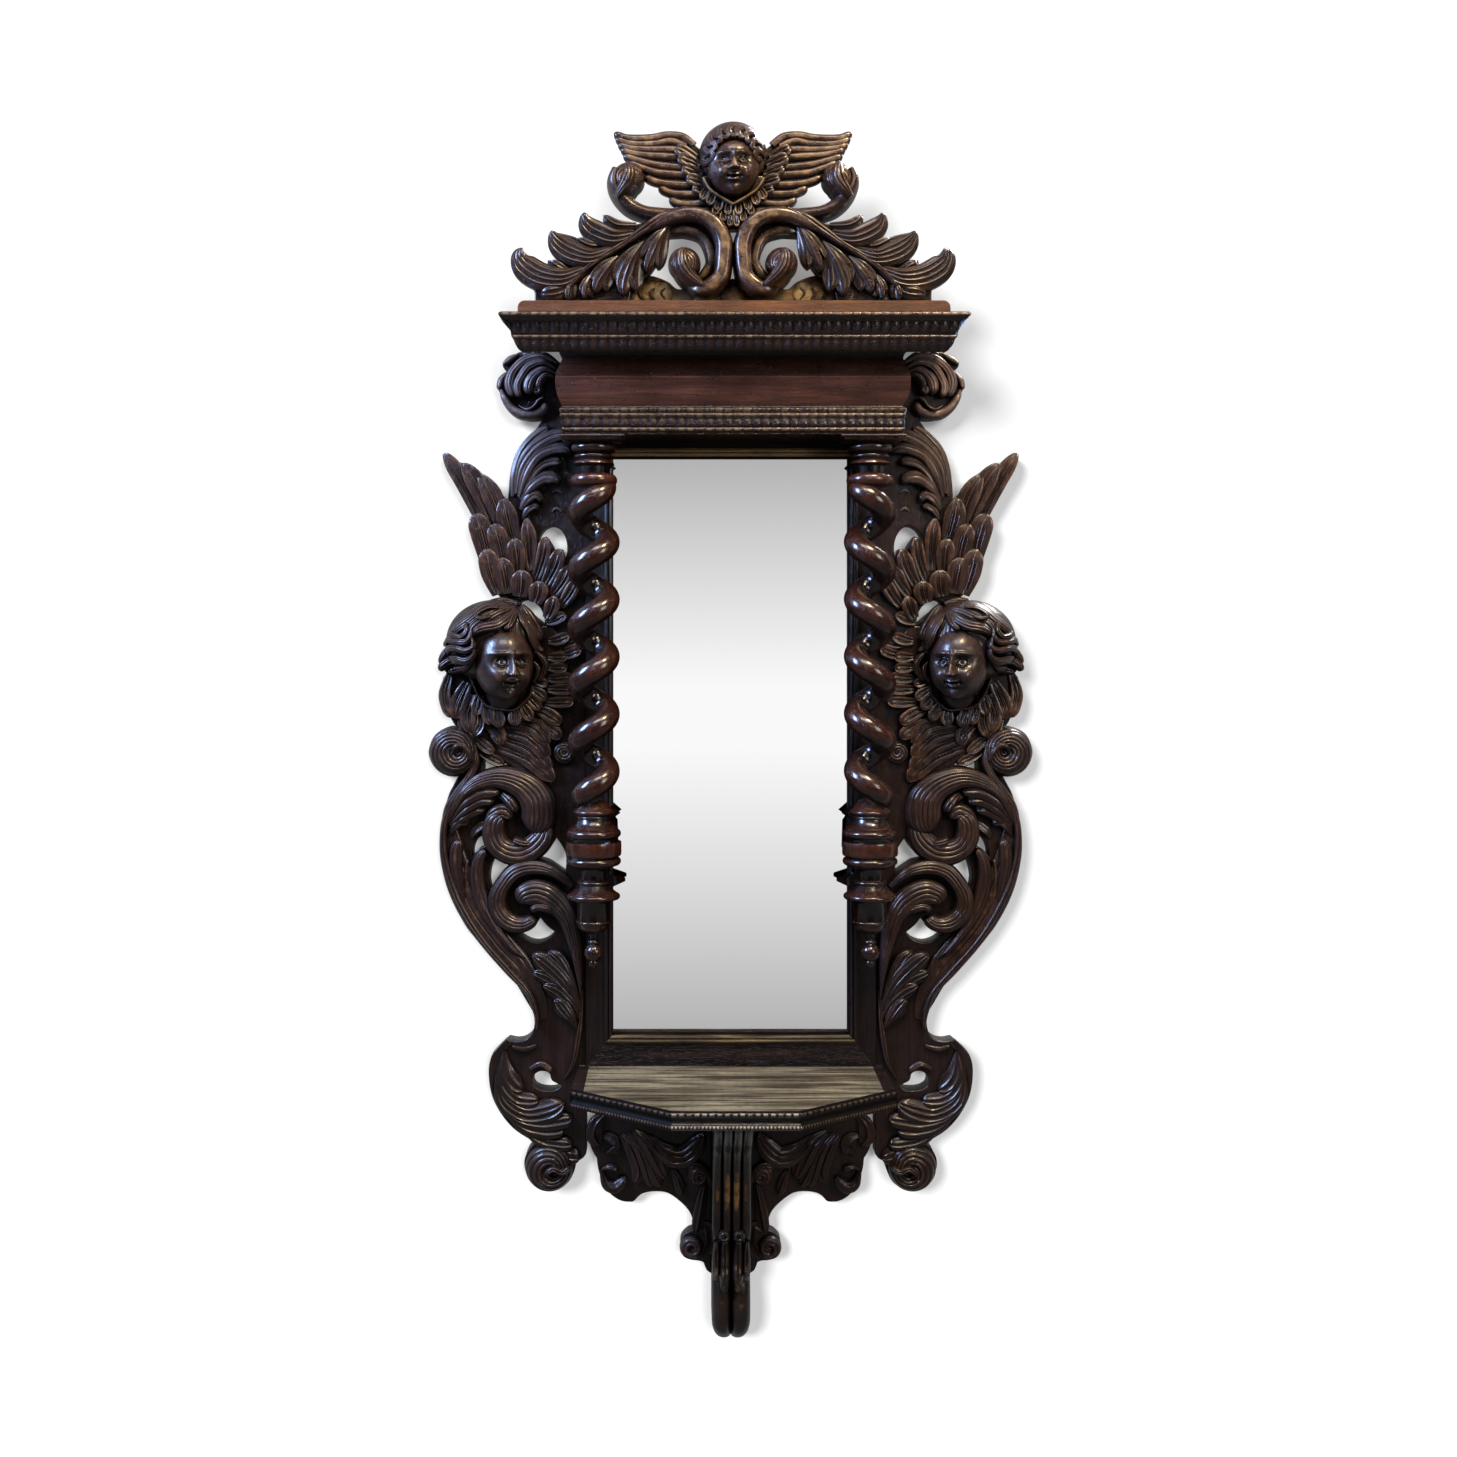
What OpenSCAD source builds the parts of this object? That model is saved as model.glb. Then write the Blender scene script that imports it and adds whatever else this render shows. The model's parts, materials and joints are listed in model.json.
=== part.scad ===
// Carved oak wall mirror with twisted columns, pierced scroll sides and a console shelf.
// Millimetres. The origin is midway between the two hanging holes on the wall plane,
// +X is right seen from the front, the front faces -Y and +Z is up.

/* [Mirror frame] */
// Visible width of the glass
glass_w = 296; // [286:2:306]
// Visible height of the glass
glass_h = 722; // [700:2:744]
// Width of the stiles
stile_w = 33; // [31:1:36]
// Thickness of the frame
frame_t = 34; // [32:1:37]
// Thickness of the glass
glass_t = 4; // [3:0.5:5]
// Thickness of the backboard
back_t = 8; // [6:1:9]
// Spacing of the two hanging holes
hang_gap = 240; // [200:10:260]

/* [Columns] */
// Distance from the frame to the column axis
column_out = 41; // [40:0.5:43]
// Radius of the twisted strand
strand_r = 14.5; // [13:0.5:15]
// Radius of the helix that the strand follows
helix_r = 17.5; // [16.5:0.5:19]
// Number of turns of the twist
turns = 5.65; // [4.65:1:6.65]

/* [Entablature] */
// Depth of the core in front of the frame
core_d = 72; // [72:1:80]
// Overhang of the cornice beyond the core
cornice_out = 77; // [75:1:82]

/* [Carving] */
// Thickness of the pierced side boards
board_t = 28; // [25:1:30]
// Height of the side scrolls above their board
relief = 20; // [16:1:22]
// Height of the crest scrolls above their board
crest_relief = 22; // [18:1:25]

/* [Shelf] */
// Depth of the shelf from the wall
shelf_d = 230; // [220:5:240]
// Thickness of the shelf board
shelf_t = 18; // [16:1:22]

/* [Hidden] */
$fn = 48;
half_glass = glass_w / 2;
half_w = half_glass + stile_w;
glass_top = -111;
glass_foot = glass_top - glass_h;
rail_h = stile_w + 6;
shelf_top = glass_foot - rail_h;
shelf_foot = shelf_top - shelf_t;
// The foot of the frame stands in a shallow housing in the shelf board.
housing = 2;
frame_foot = shelf_top - housing;
// A length past any piece here, for cuts.
far = 1500;

// The glass lies in a rebate with the backboard in a wider one behind it.
rebate = 8;
back_rebate = 20;
lip_t = 14;
glass_front = lip_t - frame_t;
glass_back = glass_front + glass_t;

// The side carving is drawn outward from the frame's side and down from the hanging holes, with
// the shelf at -872, and stretches to the height of the real frame.
stretch = shelf_top / -872;
function at(p) = len(p) == 2 ? [half_w + p[0], p[1] * stretch]
    : [half_w + p[0], p[1] * stretch, p[2], p[3] * relief];
function side(list) = [for (p = list) at(p)];
// A list of points moved across and up.
function moved(list, x, z) = [for (p = list) len(p) == 2 ? [p[0] + x, p[1] + z]
    : [p[0] + x, p[1] + z, p[2], p[3]]];

// A curve through a few points; a point given twice is a sharp corner.
function pick(p, i, shut) = shut ? p[(i + len(p)) % len(p)]
    : p[max(0, min(len(p) - 1, i))];
function between(a, b, c, d, t) = 0.5 * (2 * b + (c - a) * t
    + (2 * a - 5 * b + 4 * c - d) * t * t + (3 * b - a - 3 * c + d) * t * t * t);
function curve(p, n = 3, shut = false) = concat(
    [for (i = [0:len(p) - (shut ? 1 : 2)])
        if (norm(pick(p, i, shut) - pick(p, i + 1, shut)) > 0.01)
            for (k = [0:n - 1])
                between(pick(p, i - 1, shut), pick(p, i, shut),
                    pick(p, i + 1, shut), pick(p, i + 2, shut), k / n)],
    shut ? [] : [p[len(p) - 1]]);
function round_arc(x, y, r, from, to, n = 6) =
    [for (i = [0:n]) [x + r * cos(from + (to - from) * i / n),
        y + r * sin(from + (to - from) * i / n)]];

// The right half is drawn; the left half is its mirror image.
module hand(right) {
    if (right) children();
    else mirror([1, 0, 0]) children();
}
// A flat board seen from the front, from one depth to another.
module board(from, to) {
    translate([0, -from, 0]) rotate([90, 0, 0]) linear_extrude(to - from) children();
}
// A profile of (depth from the wall, height) run along X.
module run_x(from, to) {
    translate([from, 0, 0]) rotate([90, 0, 90]) linear_extrude(to - from)
        mirror([1, 0]) children();
}
// A rounded carved band that follows a curve of (across, up, half width, height) points.
band_section = [[-1, 0], [-0.93, 0.5], [-0.5, 0.92], [0, 1], [0.5, 0.92], [0.93, 0.5], [1, 0]];
leaf_section = [[-1, 0], [-0.8, 0.75], [0, 1], [0.8, 0.75], [1, 0]];
module band(points, base, n = 2, section = band_section) {
    q = curve(points, n);
    m = len(section);
    last = len(q) - 1;
    ring = function(i)
        let (a = q[max(0, i - 1)], b = q[min(last, i + 1)],
            run = [b[0] - a[0], b[1] - a[1]] / norm([b[0] - a[0], b[1] - a[1]]))
        [for (s = section) [q[i][0] - run[1] * q[i][2] * s[0],
            -base - q[i][3] * s[1], q[i][1] + run[0] * q[i][2] * s[0]]];
    skin = [for (i = [0:last - 1]) for (k = [0:m - 1]) each
        [[i * m + k, i * m + (k + 1) % m, (i + 1) * m + k],
         [i * m + (k + 1) % m, (i + 1) * m + (k + 1) % m, (i + 1) * m + k]]];
    start = [for (k = [1:m - 2]) [0, k + 1, k]];
    finish = [for (k = [1:m - 2]) [last * m, last * m + k, last * m + k + 1]];
    polyhedron(points = [for (i = [0:last]) each ring(i)], faces = concat(skin, start, finish));
}
// A feather: a flat blade with a rounded point that leans out from its board.
module feather(root, tip, w, base, lift = 3, t = 4) {
    len = norm(tip - root);
    turn = atan2(tip[1] - root[1], tip[0] - root[0]);
    blade = curve([[0, -w * 0.6], [len * 0.45, -w], [len * 0.85, -w * 0.6], [len, 0], [len, 0],
        [len * 0.85, w * 0.6], [len * 0.45, w], [0, w * 0.6]], 2);
    translate([root[0], -base, root[1]]) rotate([0, -turn, 0]) rotate([90, 0, 0])
        rotate([0, atan(-lift / len), 0]) linear_extrude(t) polygon(blade);
}

// Mirror frame
tenon_in = 9;
tenon_w = 8;
tenon_t = 10;
tenon_l = 24;
module stile(right) color("#2f1d14") hand(right) difference() {
    union() {
        translate([half_glass, -frame_t, frame_foot]) cube([stile_w, frame_t, glass_top - frame_foot]);
        translate([half_glass + tenon_in, -(frame_t + tenon_t) / 2, glass_top]) cube([tenon_w, tenon_t,
        tenon_l]);
    }
    rebates();
    board(-1, frame_t + 1) polygon([[0, glass_foot + half_glass * (glass_foot - frame_foot) / stile_w],
        [half_w, frame_foot], [half_w + 1, frame_foot - 1], [0, frame_foot - 1]]);
    screw_holes();
}
module rebates() {
    translate([-half_glass - rebate, glass_front, glass_foot - rebate])
        cube([glass_w + 2 * rebate, frame_t, glass_h + 2 * rebate]);
    translate([-half_glass - back_rebate, glass_back, glass_foot - back_rebate])
        cube([glass_w + 2 * back_rebate, frame_t, glass_h + 2 * back_rebate]);
}
rail_top = 28;
screw_head_room = 8;
module top_rail() color("#2f1d14") difference() {
    translate([-half_w, -frame_t, glass_top]) cube([2 * half_w, frame_t, rail_top - glass_top]);
    rebates();
    for (s = [-1, 1]) {
        translate([s * (half_glass + tenon_in + tenon_w / 2) - tenon_w / 2, -(frame_t + tenon_t) / 2,
        glass_top - 1])
            cube([tenon_w, tenon_t, tenon_l + 1]);
        translate([s * hang_gap / 2 - plate_w / 2, -plate_t, -plate_h / 2]) cube([plate_w, plate_t + 1,
        plate_h]);
        translate([s * hang_gap / 2, 1, 0]) rotate([90, 0, 0]) cylinder(r = screw_head_room, h = lip_t + 1);
    }
    plate_screw_holes();
    screw_holes();
}
module bottom_rail() color("#2f1d14") difference() {
    board(0, frame_t) polygon([[-half_glass, glass_foot], [half_glass, glass_foot],
        [half_w, frame_foot], [-half_w, frame_foot]]);
    rebates();
    screw_holes();
}
// Sight moulding around the glass, mitred at the corners.
sight_w = 10;
sight_h = 5;
sight_profile = concat([[0, 0], [0, 3]], round_arc(2.2, 3, 2, 180, 0, 4),
    [[4.6, 2.6]], round_arc(6.8, 2.4, 2.2, 160, 0, 4), [[sight_w, 2], [sight_w, 0]]);
module sight_run(len) {
    intersection() {
        rotate([90, 0, 90]) translate([0, 0, -len / 2 - sight_w]) linear_extrude(len + 2 * sight_w)
            polygon([for (p = sight_profile) [-p[1], -p[0]]]);
        board(-1, sight_h + 1) polygon([[-len / 2, 0], [len / 2, 0],
            [len / 2 + sight_w, -sight_w], [-len / 2 - sight_w, -sight_w]]);
    }
}
module sight_bottom() color("#6a4a2a") translate([0, -frame_t, glass_foot]) sight_run(glass_w);
module sight_top() color("#6a4a2a") translate([0, -frame_t, glass_top]) rotate([0, 180,
    0]) sight_run(glass_w);
module sight_side(right) color("#6a4a2a") hand(right)
    translate([half_glass, -frame_t, glass_top - glass_h / 2]) rotate([0, -90, 0]) sight_run(glass_h);
module mirror_glass() color("#c8ccd0")
    translate([-half_glass - rebate + 1, glass_front, glass_foot - rebate + 1])
        cube([glass_w + 2 * rebate - 2, glass_t, glass_h + 2 * rebate - 2]);
module backboard() color("#8a6a48") difference() {
    translate([-half_glass - back_rebate + 1, glass_back, glass_foot - back_rebate + 1])
        cube([glass_w + 2 * back_rebate - 2, back_t, glass_h + 2 * back_rebate - 2]);
    screw_holes();
}
// Screws that hold the backboard, seen from behind.
screw_r = 1.75;
screw_l = back_t + 10;
screw_rows = 5;
function screw_spots() = concat(
    [for (s = [-1, 1]) for (i = [0:screw_rows - 1])
        [s * (half_glass + 14), glass_foot + glass_h * (i + 0.5) / screw_rows]],
    [for (z = [glass_top + 14, glass_foot - 14]) for (x = [-80, 80]) [x, z]]);
module screw(r, l) {
    cylinder(r = r, h = l);
    cylinder(r1 = 0.1 + r * 2, r2 = r, h = r * 1.2);
}
module at_screws() for (p = screw_spots()) translate([p[0],
    glass_back + back_t, p[1]]) rotate([90, 0, 0]) children();
module screw_holes() at_screws() screw(screw_r, screw_l);
module backboard_screws() color("#8a8070") at_screws() screw(screw_r, screw_l);
// Steel plates let into the back of the top rail.
plate_w = 30;
plate_h = 44;
plate_t = 2.5;
hang_r = 3.5;
plate_screw_r = 1.5;
module at_plate_screws() for (s = [-1, 1]) for (t = [-1, 1])
    translate([s * hang_gap / 2, 0, t * 16]) rotate([90, 0, 0]) children();
module plate_screw_holes() at_plate_screws() screw(plate_screw_r, 16);
module hanging_plates() color("#7a7a78") difference() {
    for (s = [-1, 1]) translate([s * hang_gap / 2 - plate_w / 2, -plate_t, -plate_h / 2])
        cube([plate_w, plate_t, plate_h]);
    for (s = [-1, 1]) translate([s * hang_gap / 2, 1, 0]) rotate([90, 0, 0]) cylinder(r = hang_r,
    h = plate_t + 2);
    plate_screw_holes();
}
module hanging_screws() color("#8a8070") at_plate_screws() screw(plate_screw_r, 16);

// Entablature
core_half = half_w + 15;
core_front = frame_t + core_d;
arch_foot = glass_top + 18;
frieze_foot = arch_foot + 34;
frieze_top = frieze_foot + 56.5;
cornice_top = rail_top + 12;
plinth_top = cornice_top + 17;
// Profiles are lists of (distance out from the core, height).
architrave_profile = concat([[0, arch_foot], [7, arch_foot], [7, arch_foot + 3]],
    round_arc(8, arch_foot + 5.5, 2, -80, 80, 4), [[8, arch_foot + 8.5], [10, arch_foot + 9],
    [10.5, arch_foot + 17], [9, arch_foot + 19]], round_arc(9.5, arch_foot + 22, 2, -80, 80, 4),
    [[9.5, arch_foot + 25]], round_arc(10, arch_foot + 29, 2.4, -80, 80, 4),
    [[8, arch_foot + 33], [8, frieze_foot], [0, frieze_foot]]);
frieze_profile = concat([[0, frieze_foot]],
    curve([[8, frieze_foot], [8, frieze_foot], [13, frieze_foot + 9], [16, frieze_foot + 22],
        [16, frieze_foot + 37], [16, frieze_foot + 37]], 3), [[8, frieze_top], [0, frieze_top]]);
co = cornice_out;
cornice_in = co - 28;
cornice_profile = concat([[cornice_in, frieze_top], [cornice_in + 2, frieze_top]],
    curve([[co - 23, frieze_top + 1.5], [co - 18, frieze_top + 6], [co - 15, frieze_top + 12]], 2),
    round_arc(co - 14, frieze_top + 16, 2, -70, 70, 4), [[co - 14, frieze_top + 19]],
    curve([[co - 11, frieze_top + 22], [co - 8.5, frieze_top + 27], [co - 7, frieze_top + 33]], 2),
    [[co - 5, frieze_top + 35]], round_arc(co - 3, cornice_top - 3, 3, -60, 90, 5),
    [[co - 11, cornice_top], [co - 11, rail_top], [cornice_in, rail_top]]);
module outline(profile) polygon([for (p = profile) [core_front + p[0], p[1]]]);
module wedge(out) {
    translate([0, 0, -far]) linear_extrude(2 * far) polygon([[-core_half + core_front, 0],
    [core_half - core_front, 0],
        [core_half + out, -core_front - out], [-core_half - out, -core_front - out]]);
}
module front_run(profile) intersection() {
    run_x(-core_half - 2 * cornice_out, core_half + 2 * cornice_out) outline(profile);
    wedge(2 * cornice_out);
}
module return_run(profile, back) difference() {
    translate([0, -back, 0]) rotate([90, 0, 0]) linear_extrude(core_front + 2 * cornice_out - back)
        polygon([for (p = profile) [core_half + p[0], p[1]]]);
    wedge(3 * cornice_out);
}
module entablature_core() color("#2a1a12")
    translate([-core_half, -core_front, arch_foot]) cube([2 * core_half, core_d, frieze_top - arch_foot]);
bed_out = 13;
bed_front = concat([[8, frieze_top]],
    curve([[8.5, frieze_top + 2], [10, frieze_top + 6], [bed_out, frieze_top + 9]],
    2), [[bed_out, rail_top]]);
// A list of points followed by its mirror image.
function mirrored(list) = concat(list, [for (i = [len(list) - 1:-1:0]) [-list[i][0], list[i][1]]]);
module cornice_bed() color("#2a1a12") intersection() {
    run_x(-core_half - bed_out, core_half + bed_out)
        outline(concat([[-core_d, frieze_top]], bed_front, [[-core_d, rail_top]]));
    board(0, core_front + bed_out) polygon(mirrored(moved(bed_front, core_half, 0)));
}
module architrave_front() color("#33201a") front_run(architrave_profile);
module architrave_return(right) color("#33201a") hand(right) return_run(architrave_profile, frame_t);
module frieze_front() color("#4a2416") front_run(frieze_profile);
module frieze_return(right) color("#4a2416") hand(right) return_run(frieze_profile, frame_t);
module cornice_front() color("#33201a") front_run(cornice_profile);
module cornice_return(right) color("#33201a") hand(right) return_run(cornice_profile,
    core_front + cornice_in - 5);
module cornice_board() color("#2a1a12")
    translate([-core_half - co + 11, -core_front - co + 11, rail_top])
        cube([2 * (core_half + co - 11), core_front + co - 11, cornice_top - rail_top]);

// Columns
column_in = 21;
column_x = half_glass + column_in;
column_y = frame_t + column_out;
twist_top = -140;
twist_foot = -546 * stretch;
module strand() {
    steps = round(turns * 14);
    sides = 12;
    slope = atan((twist_foot - twist_top) / (2 * PI * helix_r * turns));
    spot = function(i, k)
        let (a = 90 + 360 * turns * i / steps, b = 360 * k / sides,
            out = helix_r + strand_r * cos(b), along = strand_r * sin(b))
        [out * cos(a) + along * sin(slope) * sin(a), out * sin(a) - along * sin(slope) * cos(a),
            twist_top + (twist_foot - twist_top) * i / steps + along * cos(slope)];
    polyhedron(
        points = [for (i = [0:steps]) for (k = [0:sides - 1]) spot(i, k)],
        faces = concat(
            [for (i = [0:steps - 1]) for (k = [0:sides - 1]) each
                [[i * sides + k, i * sides + (k + 1) % sides, (i + 1) * sides + k],
                 [i * sides + (k + 1) % sides, (i + 1) * sides + (k + 1) % sides, (i + 1) * sides + k]]],
            [for (k = [1:sides - 2]) [0, k + 1, k]],
            [for (k = [1:sides - 2]) [steps * sides, steps * sides + k, steps * sides + k + 1]]));
}
abacus = 78;
capital_r = 27.5;
base_r = 34;
capital = concat([[0, arch_foot - 5], [25, arch_foot - 5]],
    round_arc(capital_r - 6, arch_foot - 12.5, 6, 80, -80, 6),
    [[20, arch_foot - 20]], round_arc(21.5, arch_foot - 23, 2.5, 80, -80, 4), [[21, arch_foot - 27],
    [24, arch_foot - 29],
    [25, arch_foot - 32], [17, arch_foot - 35], [16, arch_foot - 44]],
    round_arc(21, arch_foot - 52, 8, 110, -90, 5), [[0, arch_foot - 61]]);
function base_at(z) = z + twist_foot;
base_turning = concat([[0, base_at(14)], [14, base_at(10)], [20, base_at(2)]],
    round_arc(22.5, base_at(-4), 3, 80, -80, 4), round_arc(20, base_at(-10), 2, 80, -80, 4),
    curve([[21, base_at(-14)], [24, base_at(-19)], [30, base_at(-23)]], 2),
    round_arc(28.5, base_at(-30), 5, 70, -80, 5), [[28, base_at(-37)], [28, base_at(-39)],
    [33.5, base_at(-40)],
    [base_r, base_at(-42)], [base_r, base_at(-55)], [33, base_at(-57)], [29, base_at(-58)]],
    round_arc(28.5, base_at(-64), 5, 70, -80, 5),
    curve([[25, base_at(-70)], [18, base_at(-74)], [16, base_at(-81)], [16, base_at(-86)]], 2),
    round_arc(17.5, base_at(-90), 2.5, 70, -70, 4),
    curve([[19, base_at(-93)], [22, base_at(-97)], [29, base_at(-103)]], 2),
    round_arc(29, base_at(-107), 3.5, 60, -80, 4), curve([[24, base_at(-111)], [20, base_at(-115)],
    [20, base_at(-136)]], 2),
    round_arc(20, base_at(-138), 1.8, 70, -70, 3), curve([[20, base_at(-141)], [17, base_at(-147)],
    [6, base_at(-153)]], 2),
    [[5, base_at(-158)]], round_arc(5, base_at(-163), 2.6, 80, -80, 4),
    round_arc(0, base_at(-176), 11.5, 60, -60, 8),
    round_arc(0, base_at(-189), 6, 40, -90, 5));
module column(right) color("#3a2014") hand(right) translate([column_x, -column_y, 0]) {
    translate([-abacus / 2, -abacus / 2, arch_foot - 3]) cube([abacus, abacus, 3]);
    translate([-abacus / 2 + 4, -abacus / 2 + 4, arch_foot - 6]) cube([abacus - 8, abacus - 8, 3.5]);
    rotate_extrude() polygon(capital);
    strand();
    rotate_extrude() polygon(base_turning);
}
// Half-turned blocks that tie each column back to its stile, hollowed to clear the turning.
turning_gap = 0.1;
upper_block = [[0, -6], [22, -6], [24, -12], [20, -17], [19, -23], [25, -29], [18, -35], [16, -42],
    [0, -42]];
lower_block = [[0, 0], [22, 0], [32, -9], [23, -16], [27, -22], [28, -56], [20, -66], [17, -82], [38, -90],
    [38, -94], [19, -103], [18, -136], [0, -140]];
module split_block(right, profile, z, hollow) color("#2a1a12") hand(right) difference() {
    translate([column_x, -frame_t, z]) rotate([0, 0, 180]) rotate_extrude(angle = 180) polygon(profile);
    translate([column_x, -column_y, -far]) cylinder(r = hollow + turning_gap, h = 2 * far);
    translate([half_w, -far, -far]) cube([far, far, 2 * far]);
    translate([0, -frame_t - sight_h - 0.5, -far]) cube([half_glass + sight_w + 0.5, far, 2 * far]);
}
module upper_block_piece(right) split_block(right, upper_block, arch_foot, capital_r);
module lower_block_piece(right) split_block(right, lower_block, twist_foot, base_r);

// Side carvings
ear_edge = [[0, -8], [19, 0], [33, 8], [41, 15], [51, 21], [61, 17], [61, 17], [71, 20], [84, 21],
    [90, 16], [99, 14], [99, 14], [105, 4], [99, -3], [99, -3], [105, -8], [111, -19], [109, -29],
    [105, -31],
    [104, -36], [97, -47], [85, -59], [71, -63], [54, -62], [54, -62]];
arch_edge = [[64, -77], [77, -94], [90, -114], [96, -138], [98, -165], [98, -165]];
wing_edge = [[112, -151], [125, -136], [141, -124], [160, -116], [177, -106], [180, -111], [171, -127],
    [160, -144], [144, -173], [139, -192], [137, -229], [128, -258], [118, -275], [107, -287], [107, -287]];
head_edge = [[124, -292], [139, -301], [163, -327], [176, -350], [183, -368], [174, -383], [174, -383]];
ruff_edge = [[177, -401], [177, -418], [171, -434], [162, -449], [162, -449]];
small_volute_edge = [[174, -449], [189, -458], [197, -474], [197, -487], [189, -501], [176, -509],
    [160, -510], [160, -510]];
stem_edge = [[167, -523], [173, -536], [181, -568], [183, -587], [182, -605], [177, -628], [168, -663],
    [152, -697], [133, -720], [106, -747], [83, -772], [71, -791], [65, -815], [67, -831], [75, -840],
    [86, -843], [98, -841], [98, -841]];
foot_edge = [[110, -853], [117, -875], [116, -900], [108, -921], [91, -942], [70, -958], [57, -966],
    [57, -966],
    [69, -975], [77, -990], [76, -1006], [67, -1020], [52, -1029], [36, -1028], [22, -1019], [14, -1003],
    [13, -994], [13, -994], [5, -990], [0, -984]];
side_outline = concat(ear_edge, arch_edge, wing_edge, head_edge, ruff_edge, small_volute_edge, stem_edge,
    foot_edge);
wing_gap = [[59, -219], [58, -209], [51, -200], [41, -197], [31, -203], [25, -215], [24, -229], [27, -240],
    [27, -240], [30, -226], [30, -226], [38, -229], [38, -229], [44, -218], [50, -210], [50, -210]];
crown_gap = [[83, -293], [72, -290], [59, -298], [53, -310], [52, -320], [52, -320], [64, -310],
    [75, -301]];
shoulder_gap = [[129, -482], [129, -482], [111, -489], [97, -497], [97, -497], [114, -500], [129, -506],
    [129, -506]];
loop_gap = [[127, -584], [127, -584], [136, -589], [142, -600], [143, -612], [143, -612], [136, -603],
    [123, -596], [123, -596]];
eye_gap = [[113, -611], [113, -611], [103, -617], [93, -620], [93, -620], [104, -630], [114, -643],
    [118, -659],
    [118, -659], [122, -640], [119, -622]];
stile_gap = [[60, -614], [60, -614], [47, -603], [37, -588], [37, -588], [29, -600], [25, -612], [26, -632],
    [26, -632], [37, -624], [48, -617]];
hook_gap = [[57, -688], [57, -688], [50, -697], [39, -706], [39, -706], [48, -715], [61, -719], [74, -716],
    [86, -707], [86, -707], [72, -704], [63, -696]];
foot_gap = [[55, -880], [46, -883], [43, -892], [31, -898], [31, -898], [39, -904], [55, -904], [65, -899],
    [67, -891], [63, -883]];
module side_board(right) color("#2b1a12") hand(right) difference() {
    board(0, board_t) polygon(concat(curve(side(side_outline), 3), [at([0, -984])]));
    for (gap = [wing_gap, crown_gap, shoulder_gap, loop_gap, eye_gap, stile_gap, hook_gap, foot_gap])
        board(-1, board_t + 1) polygon(curve(side(gap), 3, true));
}
// Each point is out, up, half width and height above the board as a share of the relief.
ear_fan = [[38, 0, 8, 0.5], [55, 1, 12, 0.8], [71, -5, 14, 1], [81, -18, 13, 1], [80, -33, 9, 0.8],
    [69, -41, 4, 0.4]];
ear_cup = [[101, -27, 2, 0.3], [95, -42, 5, 0.6], [85, -52, 6.5, 0.7], [70, -56, 6.5, 0.8],
    [56, -52, 6, 0.8], [47, -41, 4, 0.6]];
arch_leaves = [
    [[82, -181, 3, 0.3], [86, -154, 8, 0.7], [79, -128, 11, 0.8], [64, -109, 12, 0.8], [47, -98, 8, 0.6],
    [33, -95, 3, 0.3]],
    [[81, -160, 5, 0.5], [72, -138, 8, 0.7], [59, -128, 6, 0.6], [47, -136, 3, 0.4]]];
ear_ground = [[34, -6], [55, 12], [77, 10], [97, -6], [103, -28], [85, -56], [59, -60], [75, -96],
    [87, -118],
    [94, -142], [91, -176], [77, -180], [59, -168], [45, -142], [29, -100], [37, -70], [33, -40]];
ground_t = 4;
module ear_scroll(right) color("#33201a") hand(right) union() {
    board(board_t, board_t + ground_t) polygon(curve(side(ear_ground), 2, true));
    band(side(ear_fan), board_t, 3);
    band(side(ear_cup), board_t, 2);
    for (leaf = arch_leaves) band(side(leaf), board_t, 2, leaf_section);
    eye_ball([46, -27], 8, 0.7);
}
module eye_ball(spot, size, rise) {
    c = at(spot);
    translate([c[0], -board_t, c[1]]) intersection() {
        scale([1, rise * relief / size, 1]) sphere(r = size);
        translate([-size, -relief, -size]) cube([2 * size, relief, 2 * size]);
    }
}
upper_loop = [[180, -604, 2, 0.3], [174, -570, 6, 0.6], [158, -543, 11, 0.8], [133, -522, 14, 0.9],
    [106, -512, 13, 1], [80, -519, 16, 1], [64, -538, 19, 1], [61, -562, 18, 1], [70, -588, 14, 0.9],
    [89, -604, 11, 0.8], [109, -599, 11, 0.7], [116, -580, 10, 0.7], [107, -562, 6, 0.6],
    [96, -555, 2, 0.3]];
lower_loop = [[9, -824, 2, 0.2], [9, -775, 5, 0.5], [12, -737, 9, 0.6], [22, -706, 12, 0.8],
    [31, -683, 14, 0.9],
    [44, -658, 15, 1], [61, -641, 17, 1], [81, -636, 15, 1], [98, -647, 14, 1], [107, -665, 10, 0.9],
    [104, -684, 10, 0.8], [88, -694, 8, 0.7], [72, -691, 6, 0.6], [66, -680, 3, 0.4]];
long_stem = [[178, -596, 3, 0.3], [172, -632, 9, 0.5], [157, -668, 11, 0.6], [136, -699, 11, 0.6],
    [109, -729, 10, 0.5],
    [83, -758, 9, 0.5], [66, -786, 8, 0.4], [57, -812, 6, 0.3], [56, -832, 2, 0.2]];
small_volute = [[176, -549, 3, 0.4], [165, -529, 5, 0.5], [150, -509, 6, 0.6], [142, -494, 7, 0.7],
    [145, -477, 8, 0.8],
    [156, -464, 10, 0.9], [170, -459, 10, 1], [184, -467, 10, 1], [187, -482, 9, 1], [180, -495, 8, 0.9],
    [169, -497, 6, 0.8],
    [162, -488, 4, 0.6]];
stem_leaves = [
    [[8, -830, 2, 0.2], [24, -790, 8, 0.6], [41, -755, 12, 0.8], [59, -736, 8, 0.7], [70, -730, 2, 0.3]],
    [[13, -822, 2, 0.2], [27, -795, 6, 0.5], [41, -776, 6, 0.6], [56, -768, 3, 0.3]],
    [[16, -826, 2, 0.2], [25, -808, 6, 0.4], [37, -791, 4, 0.3]]];
stem_ground = [[155, -648], [125, -668], [105, -690], [97, -712], [121, -722], [149, -690]];
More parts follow.
